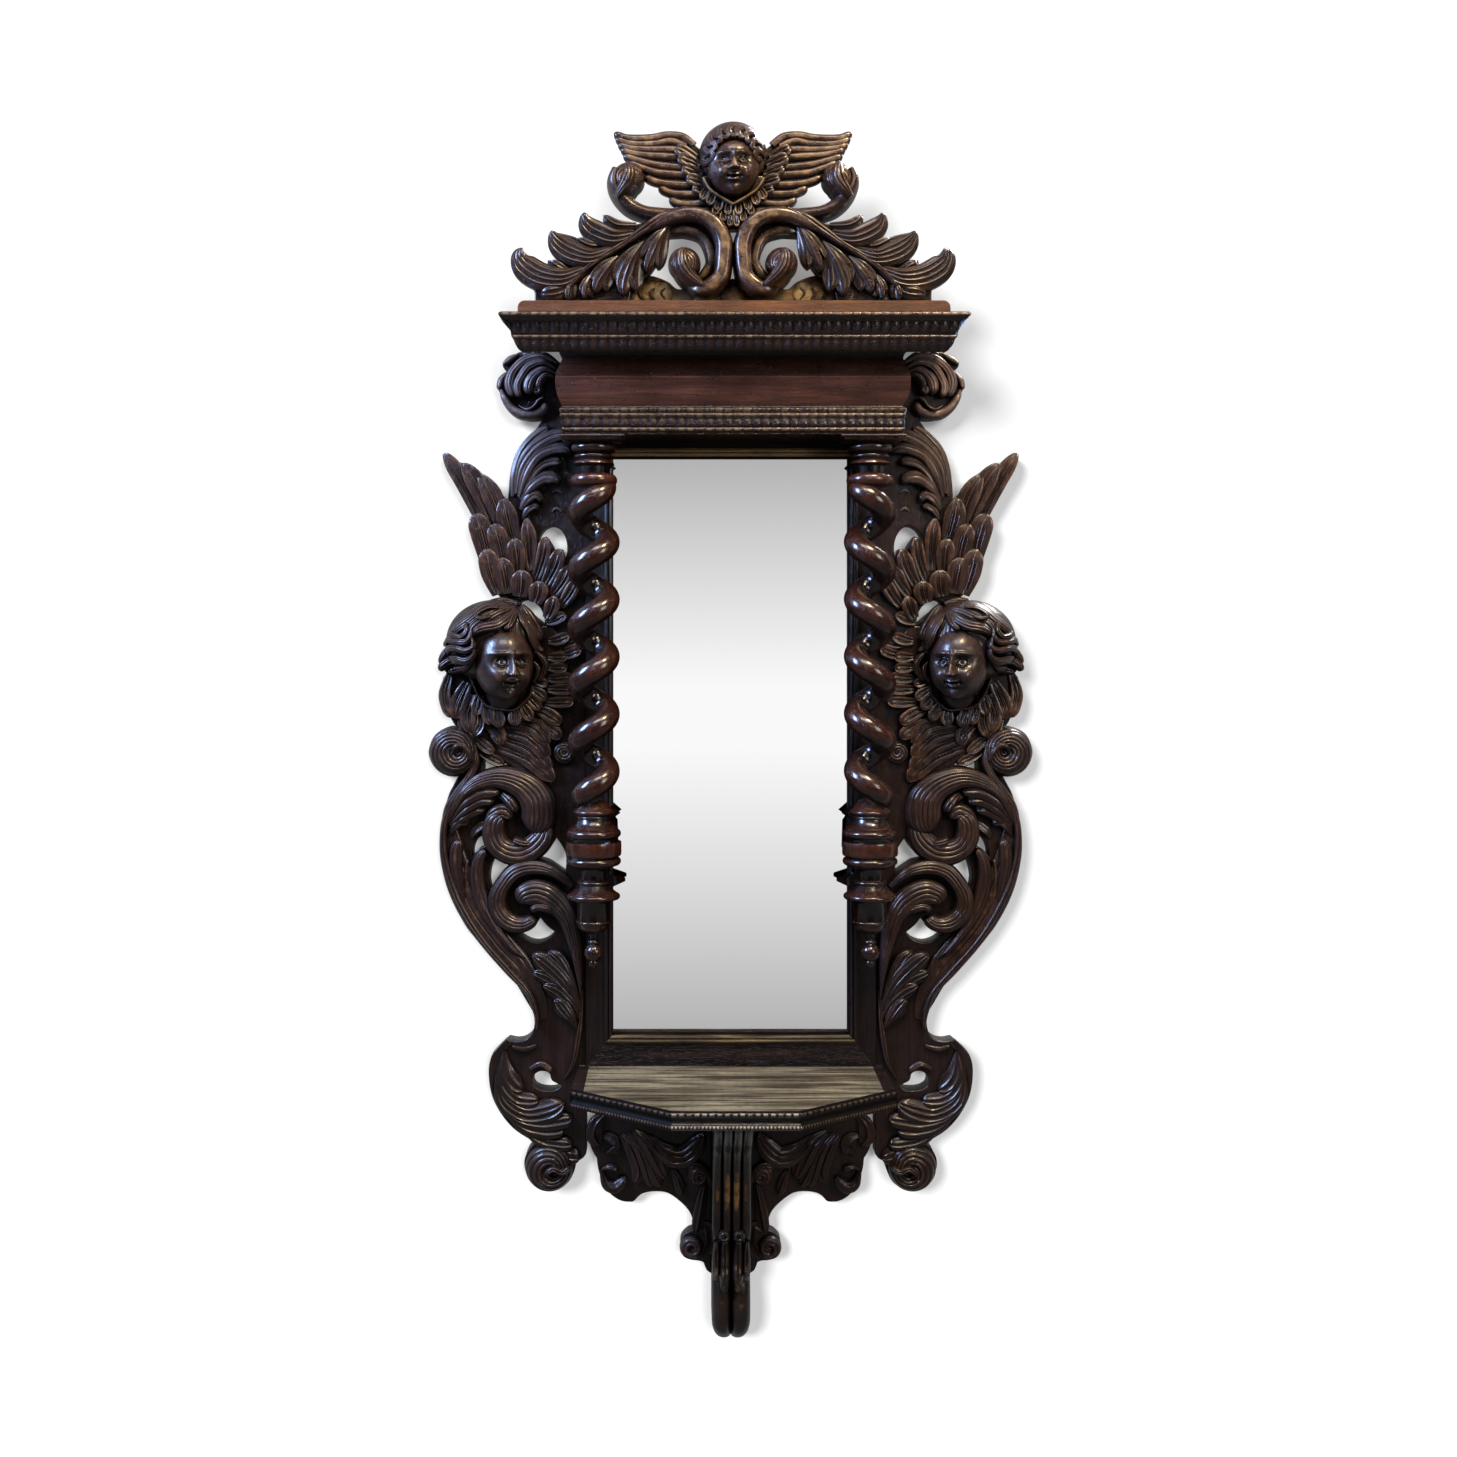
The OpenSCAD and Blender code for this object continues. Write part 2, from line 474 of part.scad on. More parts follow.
module main_scroll(right) color("#33201a") hand(right) union() {
    board(board_t, board_t + ground_t) polygon(curve(side(stem_ground), 2, true));
    for (leaf = stem_leaves) band(side(leaf), board_t, 2, leaf_section);
    band(side(upper_loop), board_t, 2);
    band(side(lower_loop), board_t, 2);
    band(side(long_stem), board_t, 2);
    band(side(small_volute), board_t, 2);
}
foot_leaf = [[98, -850, 3, 0.4], [109, -878, 7, 0.7], [103, -910, 9, 0.9], [81, -933, 12, 1],
    [52, -948, 12, 0.9],
    [25, -962, 8, 0.6], [9, -978, 3, 0.3]];
foot_volute = [[22, -981, 4, 0.5], [39, -975, 6, 0.7], [57, -979, 8, 0.9], [67, -992, 9, 1],
    [66, -1008, 9, 1],
    [54, -1019, 9, 1], [38, -1018, 9, 0.9], [27, -1008, 8, 0.9], [28, -995, 6, 0.8], [38, -990, 5, 0.7]];
foot_ground = [[17, -976], [33, -964], [53, -968], [71, -986], [69, -1010], [49, -1023], [27, -1014],
    [18, -996]];
module foot_scroll(right) color("#33201a") hand(right) union() {
    board(board_t, board_t + ground_t) polygon(curve(side(foot_ground), 2, true));
    band(side(foot_leaf), board_t, 2);
    band(side(foot_volute), board_t, 2);
    eye_ball([46, -1003], 7, 0.8);
}
// Feathers as root, tip, half width and lean.
wing_feathers = [
    [[119, -214], [178, -108], 8, 8], [[107, -218], [152, -123], 8, 9], [[95, -222], [125, -141], 8, 9],
    [[85, -224], [99, -165], 8, 9], [[73, -252], [75, -188], 8, 9]];
cover_feathers = [[[124, -238], [135, -186], 8, 6], [[107, -236], [116, -196], 8, 6], [[89, -254],
    [91, -214], 8, 6],
    [[115, -266], [123, -223], 8, 5], [[99, -272], [106, -238], 8, 5], [[80, -284], [81, -250], 8, 5],
    [[61, -289], [59, -266], 8, 5]];
fan_feathers = [[[62, -266], [51, -212], 5, 4], [[50, -272], [35, -227], 6, 5], [[40, -284], [22, -245],
    6, 5], [[41, -290], [16, -264], 6, 5]];
wing_root = [[118, -275], [128, -258], [137, -229], [138, -200], [122, -190], [89, -196], [65, -214],
    [57, -240],
    [34, -276], [33, -290], [45, -296], [55, -290], [81, -288]];
module wing(right) color("#33201a") hand(right) union() {
    board(board_t, board_t + 7) polygon(curve(side(wing_root), 2, true));
    for (f = concat(wing_feathers, fan_feathers)) feather(at(f[0]), at(f[1]), f[2], board_t + 2.5, f[3]);
    for (f = cover_feathers) feather(at(f[0]), at(f[1]), f[2], board_t + 5.5, f[3]);
}
head_spot = [110, -350];
pad_t = 10;
// The head is turned towards the glass: the face and nose sit off the middle of the hair.
module cherub(right) color("#3a2014") hand(right) {
    c = at(head_spot);
    translate([c[0], -board_t - pad_t, c[1]]) difference() {
        union() {
            translate([4, 0, 8]) scale([62, 34, 52]) sphere(r = 1);
            translate([-13, -18, -22]) scale([32, 32, 41]) sphere(r = 1);
            translate([-27, -46, -26]) sphere(r = 6);
            translate([52, -4, -16]) sphere(r = 17);
        }
        translate([-far, 0, -far]) cube([2 * far, far, 2 * far]);
    }
}
head_pad = [[167, -342], [149, -312], [117, -297], [81, -306], [59, -334], [61, -366], [81, -392],
    [117, -398],
    [153, -384], [169, -366]];
ruff_shape = [[174, -383], [177, -401], [177, -418], [171, -434], [162, -449], [145, -463], [133, -477],
    [112, -485],
    [96, -496], [64, -512], [51, -496], [57, -470], [51, -440], [41, -418], [35, -390], [31, -350],
    [43, -324], [69, -330],
    [81, -370], [119, -385]];
ruff_feathers = [[[81, -440], [41, -520], 10, 8], [[71, -420], [31, -462], 9, 8], [[59, -408], [17, -420],
    8, 7],
    [[57, -394], [17, -398], 8, 7], [[55, -380], [22, -370], 8, 7], [[51, -362], [9, -344], 7, 6],
    [[47, -340], [25, -308], 6, 5],
    [[104, -440], [59, -510], 10, 6], [[123, -446], [99, -492], 9, 6], [[141, -436], [131, -474], 8, 6],
    [[157, -420], [157, -452], 8, 5]];
collar_feathers = [[[69, -402], [47, -430], 8, 5], [[85, -410], [69, -446], 8, 5], [[105, -414],
    [99, -452], 8, 5],
    [[125, -412], [127, -446], 8, 5], [[143, -404], [151, -436], 8, 5], [[157, -392], [169, -420], 7, 5]];
module feather_collar(right) color("#33201a") hand(right) union() {
    board(board_t, board_t + 6) polygon(curve(side(ruff_shape), 2, true));
    board(board_t, board_t + pad_t) polygon(curve(side(head_pad), 2, true));
    for (f = ruff_feathers) feather(at(f[0]), at(f[1]), f[2], board_t + 2.5, f[3]);
    for (f = collar_feathers) feather(at(f[0]), at(f[1]), f[2], board_t + 5, f[3]);
}

// Crest
plinth_front = core_front + 54;
plinth_half = core_half + 57;
plinth_back = 25;
plinth_r = 8;
crest_back = core_front + 2;
crest_t = 22;
crest_front = crest_back + crest_t;
module pediment_plinth() color("#7a4522") board(plinth_back, plinth_front)
    polygon(mirrored(concat([[plinth_half, cornice_top]],
        round_arc(plinth_half - plinth_r, plinth_top - plinth_r, plinth_r, 0, 90, 4))));
ground_edge = [[150, 57], [144, 74], [130, 86], [115, 95], [98, 98], [78, 91], [66, 82], [50, 84],
    [30, 84], [12, 90], [0.5, 95]];
module crest_ground() color("#2b1a12") board(crest_back - 12, crest_back)
    polygon(mirrored(curve(ground_edge, 2)));
leaf_edge = [[60, 176], [74, 174], [100, 160], [123, 155], [132, 160], [140, 162], [148, 166], [155, 167],
    [155, 167], [152, 160],
    [151, 155], [151, 155], [164, 162], [178, 169], [178, 169], [182, 158], [176, 145], [163, 137],
    [163, 137], [170, 130], [170, 130],
    [187, 140], [200, 144], [216, 147], [216, 147], [217, 136], [210, 124], [203, 112], [203, 112],
    [221, 113], [221, 113], [222, 104],
    [222, 104], [240, 115], [251, 126], [251, 126], [260, 112], [255, 94], [244, 84], [237, 76],
    [237, 57], [237, 57],
    [180, 57], [180, 66], [170, 72], [158, 82], [149, 88], [149, 88], [142, 72], [134, 66], [123, 68],
    [123, 68], [121, 80],
    [119, 92], [119, 92], [107, 92], [100, 96], [90, 110], [85, 124], [80, 138], [60, 150]];
leaf_ribs = [
    [[80, 158, 6, 12], [108, 148, 6, 14], [142, 125, 5, 14], [187, 100, 5, 12], [234, 66, 2, 6]],
    [[120, 142, 3, 8], [140, 148, 7, 14], [160, 156, 6, 12], [176, 167, 1, 3]],
    [[158, 118, 3, 8], [178, 124, 7, 14], [198, 134, 6, 12], [214, 145, 1, 3]],
    [[192, 98, 3, 8], [214, 96, 8, 14], [236, 104, 7, 12], [250, 123, 1, 3]],
    [[112, 140, 3, 8], [100, 122, 6, 12], [100, 104, 3, 5]],
    [[140, 124, 3, 8], [130, 104, 6, 12], [127, 74, 3, 5]],
    [[176, 104, 3, 8], [168, 88, 6, 12], [174, 72, 3, 5]]];
c_scroll = [[100, 152, 6, 0.5], [80, 162, 9, 0.7], [58, 163, 11, 0.9], [36, 156, 12, 1], [18, 139, 11, 1],
    [11, 114, 10, 1],
    [17, 89, 10, 1], [35, 74, 10, 1], [56, 79, 12, 1], [68, 95, 10, 1.1], [69, 112, 9, 1.2],
    [58, 124, 8, 1.2], [47, 118, 5, 1], [48, 106, 3, 0.6]];
hook = [[60, 164, 5, 0.6], [80, 169, 6, 0.7], [104, 168, 7, 0.8], [124, 178, 9, 0.9], [137, 193, 10, 1],
    [139, 211, 11, 1.1],
    [129, 222, 9, 1.2], [119, 213, 7, 1], [124, 202, 3, 0.7]];
function raised(list, full) = [for (p = list) [p[0], p[1], p[2], p[3] * full]];
module crest_scroll(right) color("#4a2a18") hand(right) union() {
    board(crest_back, crest_front) polygon(curve(leaf_edge, 2, true));
    band(raised(c_scroll, crest_t + crest_relief - 6), crest_back, 2);
    band(raised(hook, crest_t + crest_relief - 8), crest_back, 2);
    for (rib = leaf_ribs) band(rib, crest_front, 2, leaf_section);
}
crest_wing_edge = [[34, 240], [38, 245], [47, 254], [60, 262], [79, 266], [98, 261], [120, 261],
    [145, 268], [145, 268], [141, 258],
    [136, 245], [129, 232], [106, 212], [106, 212], [82, 199], [72, 188], [65, 175], [65, 175], [47, 170],
    [21, 166], [8, 176], [16, 200]];
crest_wing_feathers = [[[56, 244], [143, 266], 9, 6], [[56, 234], [136, 248], 8, 7], [[54, 224],
    [126, 230], 8, 7], [[50, 214], [104, 212], 7, 6],
    [[46, 204], [84, 200], 7, 5], [[40, 192], [66, 178], 6, 5]];
wing_t = 16;
hair_z = 238;
hair_w = 39;
hair_h = 41;
head_gap = 0.3;
ruff = [[-34, 214], [34, 214], [26, 184], [8, 160], [0, 148], [-8, 160], [-26, 184]];
ruff_points = [[[26, 204], [40, 186], 7, 5], [[18, 194], [26, 170], 7, 5], [[8, 190], [9, 158], 7, 5]];
module crest_wing(right) color("#33201a") hand(right) difference() {
    union() {
        board(crest_back, crest_back + wing_t) polygon(curve(crest_wing_edge, 2, true));
        for (f = crest_wing_feathers) feather(f[0], f[1], f[2], crest_back + wing_t - 2, f[3]);
    }
    board(0, far) translate([0, hair_z]) polygon([for (a = [0:360 / 32:359])
        [(hair_w + head_gap) * cos(a), (hair_h + head_gap) * sin(a)]]);
    board(0, far) polygon(ruff);
}
module crest_head() color("#3a2014") difference() {
    union() {
        translate([0, -crest_back - 14, hair_z]) scale([hair_w, 32, hair_h]) sphere(r = 1);
        translate([0, -crest_back - 24, hair_z - 9]) scale([29, 33, 36]) sphere(r = 1);
        translate([0, -crest_back - 56, hair_z - 15]) scale([4, 5, 7]) sphere(r = 1);
        board(crest_back, crest_back + 26) polygon(ruff);
        for (s = [-1, 1]) for (f = ruff_points)
            feather([s * f[0][0], f[0][1]], [s * f[1][0], f[1][1]], f[2], crest_back + 24, f[3]);
    }
    translate([-far, -crest_back, 0]) cube([2 * far, far, far]);
}

// Shelf and brackets
shelf_rear = board_t;
shelf_end = half_w + 12;
shelf_nose = half_w - 107;
shelf_mid = shelf_d - 87;
shelf_plan = mirrored([[half_w, 0], [half_w, shelf_rear], [half_w + 8, shelf_rear],
    [shelf_end, shelf_mid], [shelf_nose, shelf_d]]);
cleat_w = 16;
cleat_t = 4;
edge_t = 8;
edge_h = shelf_t + 3;
cant_run = [shelf_end - shelf_nose, shelf_d - shelf_mid];
cant_turn = atan2(cant_run[1], cant_run[0]);
module on_cant() translate([shelf_nose, -shelf_d, 0]) rotate([0, 0, cant_turn]) children();
// What the edge mouldings take off the shelf outline.
module edge_room() {
    translate([-far, -shelf_d - far, -far]) cube([2 * far, far + edge_t, 2 * far]);
    for (s = [0, 1]) mirror([s, 0, 0]) on_cant() translate([-far, -far, -far]) cube([2 * far,
    far + edge_t, 2 * far]);
}
module cleat_room() for (s = [0, 1]) mirror([s, 0, 0])
    translate([shelf_end - cleat_w, -shelf_mid, shelf_top - cleat_t]) cube([far, shelf_mid - frame_t, far]);
module shelf_slab(t) translate([0, 0, shelf_top - t]) linear_extrude(t) mirror([0, 1]) polygon(shelf_plan);
module shelf_board() color("#8b7a5a") difference() {
    shelf_slab(shelf_t);
    edge_room();
    cleat_room();
    translate([-half_w, -frame_t, frame_foot]) cube([2 * half_w, far, far]);
}
module shelf_cleats() color("#5a4630") difference() {
    intersection() {
        shelf_slab(cleat_t);
        cleat_room();
    }
    edge_room();
}
edge_profile = concat([[0, 0], [5, 0]], round_arc(5.5, 3, 2.5, -80, 80, 4), [[5, 6.5], [7, 8], [7.5, 12],
    [6, 14]],
    round_arc(6, edge_h - 3, 2.6, -80, 90, 4), [[0, edge_h]]);
module edge_run(from, to) translate([from, edge_t, shelf_top - edge_h]) rotate([90, 0, 90])
    linear_extrude(to - from) polygon([for (p = edge_profile) [-p[0], p[1]]]);
// The front moulding meets the canted ones on mitres.
function mitre(depth) = shelf_nose + (depth - shelf_d) * tan(cant_turn / 2);
module nose_wedge() linear_extrude(2 * far, center = true) mirror([0, 1])
    polygon(mirrored([[mitre(shelf_mid), shelf_mid], [mitre(2 * shelf_d), 2 * shelf_d]]));
module shelf_front() color("#3a2818") intersection() {
    translate([0, -shelf_d, 0]) edge_run(-shelf_end, shelf_end);
    nose_wedge();
}
module shelf_side(right) color("#3a2818") hand(right) intersection() {
    difference() {
        on_cant() edge_run(-2 * edge_t, norm(cant_run) + 2 * edge_t);
        nose_wedge();
    }
    linear_extrude(2 * far, center = true) mirror([0, 1])
        polygon([[0, 0], [shelf_end, 0], [shelf_end, far], [0, far]]);
}
// The aprons are drawn down from the shelf, their outer part in from the frame's side and
// their inner part out from the middle.
apron_outer = [[-11, 0], [-12, -42], [-10, -51], [-4, -63], [-3, -78], [-8, -93], [-13, -101], [-13, -101],
    [-15, -116], [-21, -133], [-31, -147], [-44, -155], [-58, -156], [-62, -153], [-62, -153]];
apron_inner = [[111, -146], [96, -143], [79, -145], [63, -156], [52, -168], [47, -181], [45, -191],
    [45, -191], [54, -194], [62, -203], [63, -214], [59, -224], [50, -229], [40, -230], [34, -232],
    [34, -232],
    [30, -242], [20, -248]];
outer_leaves = [
    [[-31, -35, 3, 6], [-41, -60, 8, 12], [-61, -85, 11, 14], [-81, -110, 10, 12], [-93, -130, 4, 5]],
    [[-14, -60, 3, 5], [-15, -82, 6, 12], [-25, -102, 8, 14], [-41, -118, 9, 14], [-51, -130, 4, 6]]];
inner_leaves = [
    [[110, -15, 3, 6], [92, -35, 7, 12], [68, -45, 8, 14], [45, -30, 6, 12], [38, -10, 3, 6]],
    [[56, -192, 3, 5], [60, -208, 3, 8], [50, -222, 4, 9], [38, -214, 4, 9], [40, -202, 3, 7],
    [49, -206, 2, 6]]];
apron_t = 22;
bracket_half = 24;
module apron(right) color("#2b1a12") hand(right) union() {
    intersection() {
        board(0, apron_t) polygon(concat(
            curve(concat(moved(apron_outer, half_w, shelf_foot), moved(apron_inner, 0, shelf_foot)), 3),
            [[0, shelf_foot]]));
        translate([bracket_half, -far, -far]) cube([far, 2 * far, 2 * far]);
    }
    for (leaf = outer_leaves) band(moved(leaf, half_w, shelf_foot), apron_t, 2, leaf_section);
    for (leaf = inner_leaves) band(moved(leaf, 0, shelf_foot), apron_t, 2, leaf_section);
}
// The bracket's side view: depth from the wall, and down from the shelf.
console_edge = [[0, 0], [150, 0], [150, 0], [156, -10], [150, -28], [128, -50], [104, -70], [88, -95],
    [78, -122],
    [74, -150], [76, -172], [70, -188], [70, -188], [62, -194], [52, -206], [50, -222], [54, -234],
    [48, -246],
    [48, -246], [53, -260], [55, -282], [49, -306], [36, -320], [20, -324], [0, -322]];
reed_gap = 1.5;
groove = 5;
function console(cut) = [for (p = curve(console_edge, 2)) [-max(0, p[0] - cut), p[1] + shelf_foot]];
module centre_bracket() color("#33201a") union() {
    for (s = [-1, 1]) translate([(s - 1) * bracket_half / 2 + (s + 1) * reed_gap / 2, 0, 0]) rotate([90,
    0, 90])
        linear_extrude(bracket_half - reed_gap) polygon(console(0));
    translate([-2, 0, 0]) rotate([90, 0, 90]) linear_extrude(4) polygon(console(groove));
}

top_rail();
bottom_rail();
sight_top();
sight_bottom();
mirror_glass();
backboard();
backboard_screws();
hanging_plates();
hanging_screws();
entablature_core();
cornice_bed();
architrave_front();
frieze_front();
cornice_front();
cornice_board();
pediment_plinth();
crest_ground();
crest_head();
shelf_board();
shelf_cleats();
shelf_front();
centre_bracket();
stile(false);  // left_stile
stile(true);  // right_stile
sight_side(false);  // left_sight
sight_side(true);  // right_sight
architrave_return(false);  // left_architrave_return
architrave_return(true);  // right_architrave_return
frieze_return(false);  // left_frieze_return
frieze_return(true);  // right_frieze_return
cornice_return(false);  // left_cornice_return
cornice_return(true);  // right_cornice_return
column(false);  // left_column
column(true);  // right_column
upper_block_piece(false);  // left_upper_block
upper_block_piece(true);  // right_upper_block
lower_block_piece(false);  // left_lower_block
lower_block_piece(true);  // right_lower_block
side_board(false);  // left_side_board
side_board(true);  // right_side_board
ear_scroll(false);  // left_ear_scroll
ear_scroll(true);  // right_ear_scroll
wing(false);  // left_wing
wing(true);  // right_wing
cherub(false);  // left_cherub_head
cherub(true);  // right_cherub_head
feather_collar(false);  // left_feather_collar
feather_collar(true);  // right_feather_collar
main_scroll(false);  // left_main_scroll
main_scroll(true);  // right_main_scroll
foot_scroll(false);  // left_foot_scroll
foot_scroll(true);  // right_foot_scroll
crest_scroll(false);  // left_crest_scroll
crest_scroll(true);  // right_crest_scroll
crest_wing(false);  // left_crest_wing
crest_wing(true);  // right_crest_wing
shelf_side(false);  // left_shelf_side
shelf_side(true);  // right_shelf_side
apron(false);  // left_apron
apron(true);  // right_apron
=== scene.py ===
"""Dresses the carved oak wall mirror: carved scrolls, winged heads, twisted columns,
rippled mouldings, mirror glass and a worn console shelf. Sizes in the lists are millimetres,
across from the middle of the mirror and up from its hanging holes."""

import json
import math

import bpy
import numpy as np
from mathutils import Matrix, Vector

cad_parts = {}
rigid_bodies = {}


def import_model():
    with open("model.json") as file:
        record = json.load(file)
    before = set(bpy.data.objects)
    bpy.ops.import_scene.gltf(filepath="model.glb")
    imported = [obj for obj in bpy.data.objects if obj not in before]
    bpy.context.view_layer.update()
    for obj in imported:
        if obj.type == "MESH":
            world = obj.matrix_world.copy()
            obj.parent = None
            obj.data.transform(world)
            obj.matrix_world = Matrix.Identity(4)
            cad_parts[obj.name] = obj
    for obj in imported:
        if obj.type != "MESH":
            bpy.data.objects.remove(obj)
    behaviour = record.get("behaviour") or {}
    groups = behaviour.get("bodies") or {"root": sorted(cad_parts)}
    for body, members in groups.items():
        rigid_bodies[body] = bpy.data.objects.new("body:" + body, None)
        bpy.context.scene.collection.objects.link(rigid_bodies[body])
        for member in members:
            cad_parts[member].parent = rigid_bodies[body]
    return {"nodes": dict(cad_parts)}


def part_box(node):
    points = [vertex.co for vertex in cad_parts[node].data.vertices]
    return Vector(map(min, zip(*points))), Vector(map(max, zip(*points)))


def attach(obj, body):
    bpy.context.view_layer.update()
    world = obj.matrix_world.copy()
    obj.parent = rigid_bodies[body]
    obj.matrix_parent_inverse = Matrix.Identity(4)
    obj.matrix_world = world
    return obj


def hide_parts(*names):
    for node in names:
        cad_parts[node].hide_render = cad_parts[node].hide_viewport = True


bl_info = {
    "name": "Carved wall mirror",
    "version": (1, 0, 0),
    "blender": (4, 5, 0),
    "location": "View3D > Sidebar > Mirror",
    "description": "Builds the carved pieces and finishes of a wall mirror with twisted columns",
    "category": "Add Mesh",
}

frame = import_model()
MM = 1000.0


def corner(node, axis, end):
    """One side of a CAD node's box, in millimetres."""
    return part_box(node)[end][axis] * MM


FRAME_FRONT = -corner("right_stile", 1, 0)
BOARD = -corner("right_side_board", 1, 0)
CORE_HALF = corner("entablature_core", 0, 1)
CORE_FRONT = -corner("entablature_core", 1, 0)
ARCHITRAVE_FOOT = corner("entablature_core", 2, 0)
# The edge between the cushion of the frieze and the slope above it.
FRIEZE_EDGE = corner("entablature_core", 2, 1) - 22
CREST_BACK = -corner("crest_ground", 1, 0)
SHELF_TOP = corner("shelf_board", 2, 1)
SHELF_DEPTH = -corner("shelf_front", 1, 0)
COLUMN_X = (corner("right_column", 0, 0) + corner("right_column", 0, 1)) / 2
COLUMN_Y = -(corner("right_column", 1, 0) + corner("right_column", 1, 1)) / 2
# The twist of a column runs between these heights.
SHAFT_TOP, SHAFT_FOOT = -140.0, -546.0
# Front of the crest's board, and thickness of the aprons.
CREST_BOARD = CREST_BACK + 16
APRON = 22
# Half width and depth of a fine cut of the gouge.
QUILL, QUILL_DEPTH = 0.75, 1.3
# The part of a band's half width that its reeds take.
REEDED = 0.97
# Rounding of the front edge of a sawn board.
BOARD_EDGE = 1.4
# Sides of a turning.
TURNED_SIDES = 72


# Curves and carved forms


def smooth_line(points, gap, shut=False):
    """A curve through the points, sampled at about the gap; a point given twice is a corner."""
    p = np.array(points, float)
    n = len(p)
    made = []
    for i in range(n if shut else n - 1):
        a, b, c, d = (p[j % n] if shut else p[min(max(j, 0), n - 1)] for j in range(i - 1, i + 3))
        run = np.linalg.norm((c - b)[:2])
        if run < 0.01:
            continue
        t = np.linspace(0, 1, max(2, round(run / gap)) + 1)[:-1, None]
        made.append(0.5 * (2 * b + (c - a) * t + (2 * a - 5 * b + 4 * c - d) * t**2
                           + (3 * b - a - 3 * c + d) * t**3))
    if not shut:
        made.append(p[-1:])
    return np.concatenate(made)


def arc(x, y, r, start, end, n):
    """Points on an arc, from one angle to another in degrees."""
    a = np.radians(np.linspace(start, end, n + 1))
    return [(x + r * math.cos(t), y + r * math.sin(t)) for t in a]


class Carving:
    """Closed forms gathered for one piece: points, faces and how rubbed each point is, a value that also
    carries painted shade and painted highlights.
    """

    def __init__(self):
        self.points, self.faces, self.rub_and_painted_light = [], [], []
        self.total = 0

    def add(self, points, faces, rub_and_painted_light):
        """Adds a closed form, with its faces turned outward."""
        points = np.asarray(points, float).reshape(-1, 3)
        volume = 0.0
        for group in faces:
            for k in range(1, group.shape[1] - 1):
                a, b, c = (points[group[:, j]] for j in (0, k, k + 1))
                volume += np.einsum("ij,ij->", a, np.cross(b, c))
        for group in faces:
            turned = group if volume > 0 else group[:, ::-1]
            self.faces.append(turned + self.total)
        self.points.append(points)
        self.rub_and_painted_light.append(np.broadcast_to(np.asarray(rub_and_painted_light, float).reshape(-1), (len(points),)))
        self.total += len(points)

    def tube(self, rings, rub_and_painted_light):
        """Rings of points (rows, columns, 3) joined round and closed at both ends."""
        rows, cols = rings.shape[:2]
        number = np.arange(rows * cols).reshape(rows, cols)
        around = np.hstack([number, number[:, :1]])
        quads = np.stack([around[:-1, :-1], around[1:, :-1], around[1:, 1:], around[:-1, 1:]], -1)
        ends = []
        for row, middle in ((0, rows * cols), (-1, rows * cols + 1)):
            ring = around[row] if row == 0 else around[row][::-1]
            ends.append(np.stack([ring[:-1], ring[1:], np.full(cols, middle)], -1))
        middles = [rings[0].mean(0)[None], rings[-1].mean(0)[None]]
        points = np.concatenate([rings.reshape(-1, 3), *middles])
        shade = np.concatenate([np.broadcast_to(rub_and_painted_light, (rows, cols)).ravel(), [np.mean(rub_and_painted_light)] * 2])
        self.add(points, [quads.reshape(-1, 4), np.concatenate(ends)], shade)


def reeded(s, reeds):
    """Round reeds with sharp grooves between them, from -1 in a groove to 0 on a reed."""
    t = ((s + 1) / 2 * reeds) % 1 * 2 - 1
    return np.sqrt(np.clip(1 - t * t, 0, 1)) - 1


def fluted(s, flutes):
    """Round hollows with sharp ridges between them, from -1 in a hollow to 0 on a ridge."""
    t = ((s + 1) / 2 * flutes) % 1 * 2 - 1
    return -np.sqrt(np.clip(1 - t * t, 0, 1))


def across(half, reeds, lines):
    """Where a band's section is sampled, close together on its flanks and at its cuts."""
    inner = 0.94
    places = list(np.linspace(-inner, inner, max(10, reeds * 7) + 1))
    for line in lines:
        places += [line + k * QUILL / half for k in (-1.6, -0.8, 0, 0.8, 1.6)]
    flank = [0.975, 0.995, 1]
    return np.array(sorted(places + flank + [-x for x in flank]))


def paced(q, gap, tip):
    """The curve's points spaced by the gap, and closer at its round tip, where it narrows."""
    length = np.concatenate([[0], np.cumsum(np.hypot(*np.diff(q[:, :2], axis=0).T))])
    end = length[-1]
    cap = min(tip * q[-1, 2], 0.5 * end)
    at = np.linspace(0, end - cap, max(4, round((end - cap) / gap)))
    if cap:
        at = np.append(at, end - cap * (1 - np.sin(np.linspace(0, np.pi / 2, 8)[1:])))
    q = np.stack([np.interp(at, length, column) for column in q.T], 1)
    if cap:
        near = np.clip(1 - (end - at) / cap, 0, 1)
        narrow = np.sqrt(np.clip(1 - near**2, 0.004, 1))
        q[:, 2] *= narrow
        q[:, 3] *= narrow**0.5
    return q, at[:, None] / end


